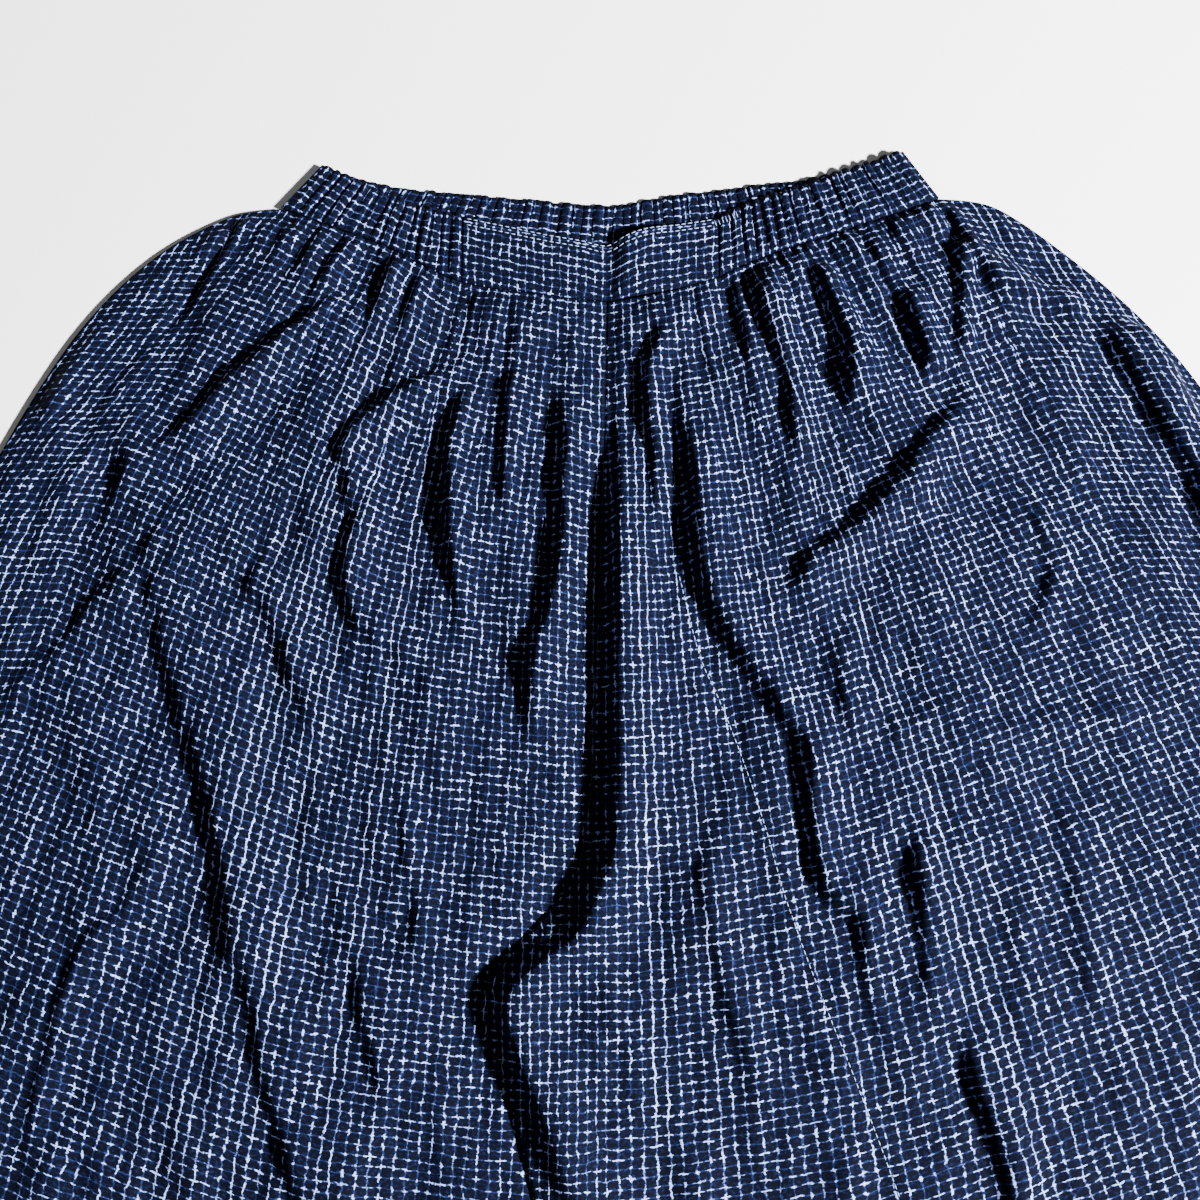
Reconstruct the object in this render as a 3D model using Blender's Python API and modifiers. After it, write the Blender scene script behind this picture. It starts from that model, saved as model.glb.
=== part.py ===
"""Balloon pants, laid flat and face up.

The waistband is at +Y, the ankles at -Y, and the garment lies on z = 0. "Right" and "left" are the
wearer's, so the right leg is on the -X side. Plan sizes are in millimetres from the centre front of
the waist seam; the finished garment is then moved so that its box stands centred on the origin.
"""

from collections import namedtuple
from math import atan, cos, hypot, pi, sin

import bpy
import bmesh

# Driving dimensions, in millimetres

MM = 0.001                  # one millimetre in scene units
CLOTH_WALL = 1.2            # panels and cuffs, a doubled seam allowance averaged in
BAND_WALL = 1.5             # waistband cloth, folded double
SEAM_GAP = 0.3              # between neighbouring pieces
CUFF_LENGTH = 35.0          # ankle cuff, measured along the leg

# Heights above the surface that the garment lies on, in millimetres

RIM_Z = CLOTH_WALL + SEAM_GAP           # underside of a front panel at its rim
LOFT = 4.5                              # air that the front holds over the back
OUTER_RIM = 16.0                        # plan width over which a front rounds down at its side
RIGHT_INNER_RIM = 30.0                  # the same at the right panel's centre seam and inseam
LEFT_INNER_RIM = 12.0                   # and at the left panel's, which stands up as a roll
FOLD_RIM = 7.0                          # folds die away this close to the inner edge
BAND_FRONT_Z = 3.4                      # underside of the waistband's front run
GATHER_HEIGHT = 1.3                     # elastic gathers on the waistband
GATHER_UNEVENNESS = 0.25                # share by which gathers vary about their mean height
PLAIN_RISE = 2.0                        # swell of the plain band beside its centre dip
PLAIN_SKEW = 0.6                        # below 1, the swell peaks nearer to the dip
CUFF_FRONT_Z = 2.6                      # underside of a cuff's front run
CUFF_GATHER_HEIGHT = 1.0

# Stretches near the two ends of a front panel, counted in sections

WAIST_REACH = 1.2           # from the band's height to the loft
ANKLE_REACH = 1.5           # from the loft to the cuff's height
WAIST_CALM = 0.6            # folds start below this
ANKLE_CALM = 1.0            # and end above this

# Shares of a fold's length over which it starts and dies away

FOLD_START = 0.18
FOLD_END = 0.25

# How finely the cloth is divided

PANEL_COLUMNS = 38
ROWS_PER_SECTION = 2
BAND_ROWS = 3
PLAIN_COLUMNS = 24
BAND_PITCH = 6.4            # waistband gathers, crest to crest
CUFF_PITCH = 8.0            # cuff gathers, crest to crest
TURN_STEPS = 4              # facets round each folded end
RIM_COLUMN = 0.35           # place of the first column in from a rim, as a share of a column
SHORTEST_EDGE = 1.0         # outline points closer than this are left out

GOLDEN_ANGLE = 2.4          # radians, steps that never fall into a pattern

# Cloth colours

INDIGO = (0.022, 0.045, 0.105, 1.0)
INDIGO_BAND = (0.020, 0.040, 0.095, 1.0)

Section = namedtuple("Section", "inner_x inner_y outer_x outer_y")
Fold = namedtuple("Fold", "height steep gentle path")
Gather = namedtuple("Gather", "height length")

# The tables below draw the garment in steps on a sheet, x to the right and y down from its top left
# corner. The sheet shows it from over its ankles' side, so the drawing widens towards the ankles.
# The band's real width gives a step its length.

BAND_WIDTH = 335.0          # drawn-up waistband between its upper corners, in millimetres
BAND_CORNERS = ((320, 163), (905, 150))
SEAM_CENTRE = (607, 300)    # centre front of the waist seam
VIEW_CENTRE = (600, 600)    # where the line of sight meets the cloth
VIEW_STEPS = 1500.0         # from the viewing place to that point
VIEW_SLOPE = 0.19           # tangent of the angle between the line of sight and the vertical
VIEW_END_Y = 1200           # past this the drawing keeps the scale that it has here


def on_surface(x, y):
    """Place on the surface of a drawn point, in steps from where the line of sight meets it."""
    seen_y = min(y, VIEW_END_Y)
    down = seen_y - VIEW_CENTRE[1]
    scale = 1.0 / (1.0 + VIEW_SLOPE * down / VIEW_STEPS)
    tilt = atan(VIEW_SLOPE)
    laid_y = (scale - 1.0) * VIEW_STEPS * sin(tilt) - down * scale * cos(tilt)
    return (x - VIEW_CENTRE[0]) * scale, laid_y - (y - seen_y)


def step_length():
    """Length of a step where the line of sight meets the cloth, in millimetres."""
    (right_x, right_y), (left_x, left_y) = (on_surface(*corner) for corner in BAND_CORNERS)
    return BAND_WIDTH / hypot(left_x - right_x, left_y - right_y)


def laid_point(x, y):
    """Place of a drawn point, in millimetres from the centre front of the waist seam."""
    laid_x, laid_y = on_surface(x, y)
    seam_x, seam_y = on_surface(*SEAM_CENTRE)
    step = step_length()
    return (laid_x - seam_x) * step, (laid_y - seam_y) * step


def laid_points(points):
    """The same for each of several points."""
    return [laid_point(x, y) for x, y in points]


def laid_sections(rows):
    """The same for both ends of each section."""
    return [Section(*laid_point(*row[:2]), *laid_point(*row[2:])) for row in rows]


def laid_folds(rows):
    """The same for each fold's path."""
    return [row._replace(path=laid_points(row.path)) for row in rows]


# Sections across each leg from the waist seam to the ankle. The first nine inner points are the
# centre-front seam; below the crotch they follow the leg's own inseam.

RIGHT_SECTIONS = laid_sections([
    Section(607, 300, 279, 206),
    Section(606, 345, 226, 216),
    Section(605, 400, 150, 258),
    Section(603, 480, 76, 331),
    Section(600, 570, 3, 443),
    Section(596, 670, -48, 545),
    Section(592, 770, -92, 665),
    Section(580, 860, -120, 785),
    Section(560, 905, -133, 880),
    Section(487, 990, -141, 970),
    Section(500, 1040, -144, 1050),
    Section(536, 1135, -145, 1140),
    Section(556, 1200, -144, 1230),
    Section(562, 1290, -139, 1330),
    Section(535, 1400, -125, 1435),
    Section(475, 1515, -103, 1535),
    Section(385, 1625, -72, 1630),
    Section(290, 1710, -42, 1700),
    Section(196, 1776, -16, 1740),
])

LEFT_SECTIONS = laid_sections([
    Section(607, 300, 941, 196),
    Section(606, 345, 998, 206),
    Section(605, 400, 1075, 258),
    Section(603, 480, 1150, 323),
    Section(600, 570, 1212, 398),
    Section(596, 670, 1266, 492),
    Section(592, 770, 1304, 605),
    Section(580, 860, 1327, 722),
    Section(560, 905, 1339, 840),
    Section(498, 995, 1345, 950),
    Section(510, 1040, 1348, 1045),
    Section(546, 1135, 1350, 1150),
    Section(568, 1200, 1350, 1250),
    Section(612, 1310, 1343, 1370),
    Section(672, 1430, 1322, 1480),
    Section(755, 1550, 1290, 1580),
    Section(860, 1655, 1250, 1655),
    Section(930, 1715, 1222, 1708),
    Section(986, 1776, 1198, 1740),
])

CROTCH_SECTION = 8          # where the centre seam ends and the two inseams begin
WAIST_BOW_REACH = 5         # sections over which the waist seam's curve fades out

# Largest folds. A path runs down along the crest; the steep side is on the right hand of someone
# who walks down it, and the gentle side on the left.

RIGHT_FOLDS = laid_folds([
    Fold(6, 16, 26, [(372, 290), (250, 378), (186, 442), (135, 470)]),
    Fold(10, 28, 40, [(165, 480), (166, 592), (186, 672), (222, 800), (246, 920), (278, 1064),
                      (310, 1184), (345, 1300), (380, 1420)]),
    Fold(4, 16, 24, [(128, 575), (0, 720)]),
    Fold(6, 15, 26, [(490, 362), (372, 425), (362, 500), (356, 585), (390, 640), (428, 668),
                     (458, 715)]),
    Fold(5, 12, 16, [(465, 400), (456, 480), (460, 560), (470, 632)]),
    Fold(7, 14, 20, [(570, 368), (572, 520), (556, 608), (536, 680), (534, 768)]),
    Fold(6, 20, 28, [(430, 1180), (380, 1340), (300, 1500), (210, 1660)]),
    Fold(5, 20, 28, [(60, 1080), (20, 1240), (-20, 1420), (0, 1600)]),
])

LEFT_FOLDS = laid_folds([
    Fold(9, 12, 30, [(622, 392), (626, 500), (626, 640), (626, 780), (616, 870), (592, 920),
                     (556, 962), (516, 1003), (534, 1060), (562, 1135), (586, 1200), (632, 1300)]),
    Fold(5, 11, 16, [(655, 400), (662, 470), (658, 560)]),
    Fold(7, 16, 28, [(694, 376), (698, 480), (714, 592), (754, 664), (812, 744), (818, 800),
                     (830, 880), (870, 920), (882, 1008), (930, 1080)]),
    Fold(4, 11, 16, [(752, 290), (794, 376), (798, 480)]),
    Fold(5, 11, 16, [(816, 285), (850, 344), (858, 408)]),
    Fold(4, 11, 16, [(908, 312), (938, 384)]),
    Fold(5, 14, 20, [(944, 240), (1016, 290), (1100, 312)]),
    Fold(9, 18, 26, [(1112, 322), (1160, 398), (1216, 490), (1255, 590)]),
    Fold(9, 17, 28, [(972, 404), (892, 508), (828, 566), (775, 628)]),
    Fold(4, 18, 22, [(1200, 700), (1060, 728), (920, 740)]),
    Fold(4, 16, 22, [(922, 824), (938, 1024)]),
    Fold(8, 18, 28, [(962, 1008), (1020, 1200), (1070, 1340)]),
    Fold(6, 20, 28, [(760, 1260), (840, 1400), (920, 1540), (1010, 1680)]),
    Fold(5, 20, 28, [(1240, 1100), (1250, 1280), (1230, 1450), (1180, 1620)]),
])

# Gathers that leave the waist seam, one row for each from the centre front to the side

WAIST_GATHERS = [
    Gather(0.3, 20), Gather(0.9, 70), Gather(1.0, 90), Gather(0.5, 40), Gather(0.7, 45),
    Gather(1.2, 50), Gather(1.6, 62), Gather(1.2, 40), Gather(1.8, 75), Gather(1.4, 48),
    Gather(1.9, 60), Gather(1.3, 36), Gather(1.8, 66), Gather(1.2, 44), Gather(1.6, 52),
    Gather(1.1, 38), Gather(1.3, 46), Gather(0.8, 30), Gather(0.5, 24),
]
ANKLE_GATHER_HEIGHT = 1.3
ANKLE_GATHER_LENGTH = 130.0

# Waistband edges, from the right side (-X) to the left side

FRONT_TOP = laid_points([
    (320, 163), (370, 187), (420, 207), (465, 216), (506, 225), (547, 234), (583, 240),
    (607, 244), (647, 230), (681, 223), (718, 216), (749, 204), (825, 178), (905, 150)])
FRONT_SEAM = laid_points([
    (279, 206), (337, 227), (383, 244), (421, 263), (459, 280), (530, 292), (607, 300),
    (660, 292), (716, 276), (746, 263), (780, 250), (820, 237), (860, 224), (905, 209),
    (941, 196)])
BACK_TOP = laid_points([
    (320, 163), (375, 182), (450, 192), (525, 198), (607, 204), (675, 194), (750, 185),
    (825, 174), (905, 150)])
BACK_SEAM = laid_points([
    (279, 206), (385, 235), (496, 254), (607, 261), (718, 250), (829, 230), (941, 196)])
PLAIN_RIGHT_X = -82.0       # laid place of the plain stretch's join with the elastic, right side
PLAIN_LEFT_X = 63.0         # the same join on the left side
BACK_EDGE_STEPS = 12        # points along each back panel's waist edge


# Shared helpers

def blend(low, high, share):
    """Value between low and high."""
    return low + (high - low) * share


def smooth(share):
    """Ease a share of 0 to 1 in and out."""
    share = min(1.0, max(0.0, share))
    return share * share * (3.0 - 2.0 * share)


def spline_point(points, position, corner=None):
    """Point at a position, counted in points, on a curve through all the points.

    The curve is smooth, but for one corner if its index is given."""
    last = len(points) - 1
    index = min(int(position), last - 1)
    part = position - index
    start = points[index]
    end = points[index + 1]
    before = start if index == corner else points[max(index - 1, 0)]
    after = end if index + 1 == corner else points[min(index + 2, last)]
    result = []
    for p0, p1, p2, p3 in zip(before, start, end, after):
        slope_in = (p2 - p0) / 2.0
        slope_out = (p3 - p1) / 2.0
        rise = p2 - p1
        result.append(p1 + part * (slope_in + part * (3 * rise - 2 * slope_in - slope_out
                                                      + part * (slope_in + slope_out - 2 * rise))))
    return tuple(result)


def edge_y(points, x):
    """Y where a smooth edge, drawn from -X to +X through the points, crosses x."""
    last = len(points) - 1
    index = 0
    while index < last - 1 and x > points[index + 1][0]:
        index += 1

    def slope(i):
        before, after = points[max(i - 1, 0)], points[min(i + 1, last)]
        return (after[1] - before[1]) / (after[0] - before[0])
    x0, y0 = points[index]
    x1, y1 = points[index + 1]
    part = (x - x0) / (x1 - x0)
    turn_in = slope(index) * (x1 - x0) - (y1 - y0)
    turn_out = (y1 - y0) - slope(index + 1) * (x1 - x0)
    return blend(y0, y1, part) + part * (1.0 - part) * blend(turn_in, turn_out, part)


def edge_points(points, start_x, end_x, count):
    """Points spaced evenly in x along a smooth edge."""
    return [(x, edge_y(points, x)) for x in (blend(start_x, end_x, i / count)
                                             for i in range(count + 1))]


def material(name, colour, roughness):
    """Plain cloth material."""
    made = bpy.data.materials.new(name)
    made.use_nodes = True
    shader = made.node_tree.nodes["Principled BSDF"]
    shader.inputs["Base Color"].default_value = colour
    shader.inputs["Roughness"].default_value = roughness
    shader.inputs["Metallic"].default_value = 0.0
    return made


def add_object(name, builder, cloth, collection):
    """Turn a finished bmesh into a smooth-shaded object of the garment."""
    mesh = bpy.data.meshes.new(name)
    builder.to_mesh(mesh)
    builder.free()
    mesh.shade_smooth()
    mesh.materials.append(cloth)
    made = bpy.data.objects.new(name, mesh)
    collection.objects.link(made)
    return made


def grid_faces(builder, grid):
    """Faces over a grid of vertices, as rows of equal length."""
    for near, far in zip(grid, grid[1:]):
        for i in range(len(near) - 1):
            builder.faces.new((near[i], near[i + 1], far[i + 1], far[i]))


def grid_vertices(builder, points):
    """Vertices, in metres, for a grid of points in millimetres."""
    return [[builder.verts.new((x * MM, y * MM, z * MM)) for x, y, z in row] for row in points]


def close_rim(builder, upper, lower):
    """Join the borders of two grids of vertices with a strip of faces."""
    def border(grid):
        return (grid[0] + [row[-1] for row in grid[1:]] + grid[-1][-2::-1]
                + [row[0] for row in grid[-2:0:-1]])
    top = border(upper)
    bottom = border(lower)
    for i in range(len(top)):
        j = (i + 1) % len(top)
        builder.faces.new((top[i], top[j], bottom[j], bottom[i]))


def face_up(builder):
    """Turn the faces of an open sheet so that they all look up."""
    builder.normal_update()
    for face in builder.faces:
        if face.normal.z < 0.0:
            face.normal_flip()


def face_out(builder):
    """Turn the faces of a closed body so that they all look outward."""
    bmesh.ops.recalc_face_normals(builder, faces=builder.faces)


# Plan of a leg

def section_at(sections, v):
    """Inner and outer end of a section, with the corner that the inner edge has at the crotch."""
    inner_x, inner_y = spline_point(sections, v, CROTCH_SECTION)[:2]
    outer_x, outer_y = spline_point(sections, v)[2:]
    return inner_x, inner_y, outer_x, outer_y


def leg_point(sections, u, v):
    """Plan point of a leg: u runs from the inner edge to the outer edge, v counts sections."""
    inner_x, inner_y, outer_x, outer_y = section_at(sections, v)
    waist = sections[0]
    seam_y = edge_y(FRONT_SEAM, blend(waist.inner_x, waist.outer_x, u))
    bow = seam_y - blend(waist.inner_y, waist.outer_y, u)
    bow *= 1.0 - smooth(v / WAIST_BOW_REACH)
    return blend(inner_x, outer_x, u), blend(inner_y, outer_y, u) + bow


def inset_leg_point(sections, u, v):
    """Plan point of a leg, drawn in by half the seam gap at its inner edge and its ends."""
    x, y = leg_point(sections, u, v)
    side = 1.0 if sections[0].outer_x > 0.0 else -1.0
    x += side * 0.5 * SEAM_GAP * (1.0 - u)
    last = len(sections) - 1
    y -= SEAM_GAP * (1.0 - smooth(v))
    y += 0.5 * SEAM_GAP * (1.0 - smooth(last - v))
    return x, y


def distance_to_path(x, y, path):
    """Signed distance to a path (positive on its left hand) and the share of its length passed."""
    lengths = [hypot(x1 - x0, y1 - y0) for (x0, y0), (x1, y1) in zip(path, path[1:])]
    best = None
    walked = 0.0
    for (x0, y0), (x1, y1), length in zip(path, path[1:], lengths):
        along = ((x - x0) * (x1 - x0) + (y - y0) * (y1 - y0)) / length
        share = min(1.0, max(0.0, along / length))
        near_x = blend(x0, x1, share)
        near_y = blend(y0, y1, share)
        gap = hypot(x - near_x, y - near_y)
        if best is None or gap < best[0]:
            cross = (x1 - x0) * (y - y0) - (y1 - y0) * (x - x0)
            best = (gap, gap if cross > 0.0 else -gap, (walked + share * length) / sum(lengths))
        walked += length
    return best[1], best[2]


def fold_height(folds, x, y):
    """Height that the folds add at a plan point."""
    height = 0.0
    for fold in folds:
        distance, share = distance_to_path(x, y, fold.path)
        reach = fold.gentle if distance > 0.0 else fold.steep
        if abs(distance) < reach:
            taper = smooth(share / FOLD_START) * smooth((1.0 - share) / FOLD_END)
            height += fold.height * taper * 0.5 * (1.0 + cos(pi * distance / reach))
    return height


def waist_rise(x):
    """Swell of the plain band and of the cloth under it, on both sides of the centre dip."""
    if x <= PLAIN_RIGHT_X or x >= PLAIN_LEFT_X:
        return 0.0
    reach = -PLAIN_RIGHT_X if x < 0.0 else PLAIN_LEFT_X
    return PLAIN_RISE * sin(pi * (abs(x) / reach) ** PLAIN_SKEW)


# Front panels

def front_columns():
    """Column positions across a front panel, with one more close to each rim."""
    step = 1.0 / PANEL_COLUMNS
    even = [i * step for i in range(1, PANEL_COLUMNS)]
    return [0.0, RIM_COLUMN * step] + even + [1.0 - RIM_COLUMN * step, 1.0]


def front_height(sections, folds, inner_rim, u, v):
    """Height of the outer face of a front panel."""
    x, y = leg_point(sections, u, v)
    inner_x, inner_y, outer_x, outer_y = section_at(sections, v)
    span = hypot(outer_x - inner_x, outer_y - inner_y)
    to_ankle = len(sections) - 1 - v
    inner_ease = smooth(u * span / inner_rim)
    outer_ease = smooth((1.0 - u) * span / OUTER_RIM)
    waist_share = 1.0 - smooth(v / WAIST_REACH)
    ankle_share = 1.0 - smooth(to_ankle / ANKLE_REACH)
    lift = LOFT * (1.0 - waist_share - ankle_share) * inner_ease
    lift += (BAND_FRONT_Z - RIM_Z + waist_rise(x)) * waist_share
    lift += (CUFF_FRONT_Z - RIM_Z) * ankle_share
    calm = smooth(v / WAIST_CALM) * smooth(to_ankle / ANKLE_CALM) * smooth(u * span / FOLD_RIM)
    lift += fold_height(folds, x, y) * calm
    return RIM_Z + CLOTH_WALL + lift * outer_ease


def gather_height(column, sections, u, v):
    """Height of the gathers: every second column is a crest between two valleys."""
    if column % 2 == 0:
        return 0.0
    last = len(sections) - 1
    start = leg_point(sections, u, 0.0)
    end = leg_point(sections, u, float(last))
    here = leg_point(sections, u, v)
    gather = WAIST_GATHERS[min(column // 2, len(WAIST_GATHERS) - 1)]
    from_waist = hypot(here[0] - start[0], here[1] - start[1])
    from_ankle = hypot(here[0] - end[0], here[1] - end[1])
    waist = gather.height * (1.0 - smooth(from_waist / gather.length))
    ankle = ANKLE_GATHER_HEIGHT * (1.0 - smooth(from_ankle / ANKLE_GATHER_LENGTH))
    return waist + ankle


def front_panel(name, sections, folds, inner_rim, cloth, collection):
    """One front panel: an open sheet over the leg's plan, thickened inward into a wall."""
    columns = front_columns()
    row_count = ROWS_PER_SECTION * (len(sections) - 1)
    points = []
    for r in range(row_count + 1):
        v = r / ROWS_PER_SECTION
        row = []
        for c, u in enumerate(columns):
            x, y = inset_leg_point(sections, u, v)
            z = front_height(sections, folds, inner_rim, u, v)
            if 1 < c < len(columns) - 2:
                z += gather_height(c, sections, u, v)
            row.append((x, y, z))
        points.append(row)
    builder = bmesh.new()
    grid_faces(builder, grid_vertices(builder, points))
    face_up(builder)
    panel = add_object(name, builder, cloth, collection)
    wall = panel.modifiers.new("wall", "SOLIDIFY")
    wall.thickness = CLOTH_WALL * MM
    wall.offset = -1.0
    return panel


# Back panels

def back_panel(name, sections, cloth, collection):
    """One back panel: the same leg laid flat on the surface, up to the back waist seam."""
    waist = sections[0]
    side = 1.0 if waist.outer_x > 0 else -1.0
    last = len(sections) - 1
    waist_edge = edge_points(BACK_SEAM, side * 0.5 * SEAM_GAP, waist.outer_x, BACK_EDGE_STEPS)
    outline = [(x, y - SEAM_GAP) for x, y in waist_edge]
    row_count = ROWS_PER_SECTION * last
    for r in range(row_count + 1):
        outline.append(inset_leg_point(sections, 1.0, r / ROWS_PER_SECTION))
    for r in range(row_count, 0, -1):
        outline.append(inset_leg_point(sections, 0.0, r / ROWS_PER_SECTION))
    outline = [p for i, p in enumerate(outline)
               if hypot(p[0] - outline[i - 1][0], p[1] - outline[i - 1][1]) > SHORTEST_EDGE]
    builder = bmesh.new()
    low = [builder.verts.new((x * MM, y * MM, 0.0)) for x, y in outline]
    face = builder.faces.new(low)
    pushed = bmesh.ops.extrude_face_region(builder, geom=[face])
    for item in pushed["geom"]:
        if isinstance(item, bmesh.types.BMVert):
            item.co.z = CLOTH_WALL * MM
    face_out(builder)
    return add_object(name, builder, cloth, collection)


# Gathered strips

def strip_columns(top, bottom, low_z, wall, ridge, face_up):
    """Columns of a strip between two edges: each is (outer line, inner line) in millimetres.

    Every second column carries a gather. face_up says whether the strip's outer face looks up, as
    on the front, or rests on the surface, as on the back."""
    columns = []
    last = len(top) - 1
    for i, (head, foot) in enumerate(zip(top, bottom)):
        wave = 1.0 - GATHER_UNEVENNESS * (1.0 + sin(i * GOLDEN_ANGLE))
        lift = ridge * wave if i % 2 == 1 and i < last else 0.0
        upper = low_z + wall + lift
        outer_z, inner_z = (upper, low_z) if face_up else (low_z, upper)
        columns.append(((*head, *foot, outer_z), (*head, *foot, inner_z)))
    return columns


def turn_columns(top, bottom, outward, high_z, wall):
    """Columns of a folded side, from the front run down to the back run."""
    middle = 0.5 * (high_z + wall)
    radii = (0.5 * (high_z + wall), 0.5 * (high_z - wall))
    columns = []
    for step in range(1, TURN_STEPS):
        angle = pi * (0.5 - step / TURN_STEPS)
        lines = []
        for radius in radii:
            push_x = outward[0] * radius * cos(angle)
            push_y = outward[1] * radius * cos(angle)
            lines.append((top[0] + push_x, top[1] + push_y, bottom[0] + push_x,
                          bottom[1] + push_y, middle + radius * sin(angle)))
        columns.append(tuple(lines))
    return columns


def strip_solid(name, columns, rows, closed, cloth, collection):
    """Closed body between the outer and the inner lines of a run of columns."""
    def line_points(line):
        top_x, top_y, bottom_x, bottom_y, z = line
        return [(blend(top_x, bottom_x, r / rows), blend(top_y, bottom_y, r / rows), z)
                for r in range(rows + 1)]
    builder = bmesh.new()
    outer = grid_vertices(builder, [line_points(column[0]) for column in columns])
    inner = grid_vertices(builder, [line_points(column[1]) for column in columns])
    if closed:
        grid_faces(builder, outer + outer[:1])
        grid_faces(builder, inner + inner[:1])
        for edge in (0, -1):
            for i in range(len(outer)):
                j = (i + 1) % len(outer)
                builder.faces.new((outer[i][edge], outer[j][edge], inner[j][edge], inner[i][edge]))
    else:
        grid_faces(builder, outer)
        grid_faces(builder, inner)
        close_rim(builder, outer, inner)
    face_out(builder)
    return add_object(name, builder, cloth, collection)


def across(line_start, line_end, outward_side):
    """Unit direction square to a line, towards the given side in x."""
    length = hypot(line_end[0] - line_start[0], line_end[1] - line_start[1])
    across_x = (line_start[1] - line_end[1]) / length
    across_y = (line_end[0] - line_start[0]) / length
    way = outward_side if across_x > 0.0 else -outward_side
    return way * across_x, way * across_y


def waistband_elastic(cloth, collection):
    """Gathered band: from the right join round the side, across the back and to the left join."""
    turn = 0.5 * (BAND_FRONT_Z + BAND_WALL)

    def run(top_edge, seam_edge, start, end):
        count = 2 * round(abs(end[0] - start[0]) / BAND_PITCH)
        return (edge_points(top_edge, start[0], end[0], count),
                edge_points(seam_edge, start[1], end[1], count))
    right_end = (BACK_TOP[0][0] + turn, BACK_SEAM[0][0] + turn)
    left_end = (BACK_TOP[-1][0] - turn, BACK_SEAM[-1][0] - turn)
    right_join = (PLAIN_RIGHT_X - SEAM_GAP, PLAIN_RIGHT_X - SEAM_GAP)
    left_join = (PLAIN_LEFT_X + SEAM_GAP, PLAIN_LEFT_X + SEAM_GAP)
    right_top, right_seam = run(FRONT_TOP, FRONT_SEAM, right_join, right_end)
    back_top, back_seam = run(BACK_TOP, BACK_SEAM, right_end, left_end)
    left_top, left_seam = run(FRONT_TOP, FRONT_SEAM, left_end, left_join)
    right_way = across(right_top[-1], right_seam[-1], -1.0)
    left_way = across(left_top[0], left_seam[0], 1.0)
    front = (BAND_FRONT_Z, BAND_WALL, GATHER_HEIGHT, True)
    left_turn = turn_columns(back_top[-1], back_seam[-1], left_way, BAND_FRONT_Z, BAND_WALL)
    columns = strip_columns(right_top, right_seam, *front)
    columns += turn_columns(back_top[0], back_seam[0], right_way, BAND_FRONT_Z, BAND_WALL)
    columns += strip_columns(back_top, back_seam, 0.0, BAND_WALL, GATHER_HEIGHT, False)
    columns += left_turn[::-1]
    columns += strip_columns(left_top, left_seam, *front)
    return strip_solid("waistband_elastic", columns, BAND_ROWS, False, cloth, collection)


def waistband_front(cloth, collection):
    """Plain stretch of band at the centre front, which dips over the centre-front seam."""
    top = edge_points(FRONT_TOP, PLAIN_RIGHT_X, PLAIN_LEFT_X, PLAIN_COLUMNS)
    seam = edge_points(FRONT_SEAM, PLAIN_RIGHT_X, PLAIN_LEFT_X, PLAIN_COLUMNS)
    columns = []
    for head, foot in zip(top, seam):
        low = BAND_FRONT_Z + waist_rise(head[0])
        columns.append(((*head, *foot, low + BAND_WALL), (*head, *foot, low)))
    return strip_solid("waistband_front", columns, BAND_ROWS, False, cloth, collection)


def ankle_cuff(name, sections, cloth, collection):
    """Gathered cuff: a flattened tube that takes up the leg's lower edge."""
    last = sections[-1]
    side = 1.0 if last.outer_x > last.inner_x else -1.0
    width = hypot(last.outer_x - last.inner_x, last.outer_y - last.inner_y)
    along = ((last.outer_x - last.inner_x) / width, (last.outer_y - last.inner_y) / width)
    down = (side * along[1], -side * along[0])
    turn = 0.5 * (CUFF_FRONT_Z + CLOTH_WALL)

    def edge(drop, start, end, count):
        drop += 0.5 * SEAM_GAP
        shares = [blend(start, end, i / count) for i in range(count + 1)]
        return [(last.inner_x + along[0] * s + down[0] * drop,
                 last.inner_y + along[1] * s + down[1] * drop) for s in shares]
    count = 2 * round((width - 2.0 * turn) / CUFF_PITCH)
    top = edge(0.0, turn, width - turn, count)
    hem = edge(CUFF_LENGTH, turn, width - turn, count)
    columns = strip_columns(top, hem, CUFF_FRONT_Z, CLOTH_WALL, CUFF_GATHER_HEIGHT, True)
    columns += turn_columns(top[-1], hem[-1], along, CUFF_FRONT_Z, CLOTH_WALL)
    columns += strip_columns(top[::-2], hem[::-2], 0.0, CLOTH_WALL, 0.0, False)
    inward = (-along[0], -along[1])
    columns += turn_columns(top[0], hem[0], inward, CUFF_FRONT_Z, CLOTH_WALL)[::-1]
    return strip_solid(name, columns, BAND_ROWS, True, cloth, collection)


# Garment

def centre_on_origin(objects):
    """Move the garment so that its box stands centred on the origin, in plan."""
    depsgraph = bpy.context.evaluated_depsgraph_get()
    corners = []
    for item in objects:
        evaluated = item.evaluated_get(depsgraph)
        corners += [evaluated.matrix_world @ vertex.co for vertex in evaluated.data.vertices]
    shift_x = -0.5 * (min(c.x for c in corners) + max(c.x for c in corners))
    shift_y = -0.5 * (min(c.y for c in corners) + max(c.y for c in corners))
    for item in objects:
        for vertex in item.data.vertices:
            vertex.co.x += shift_x
            vertex.co.y += shift_y
    print("plan shift in mm", round(shift_x / MM, 3), round(shift_y / MM, 3))


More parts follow.
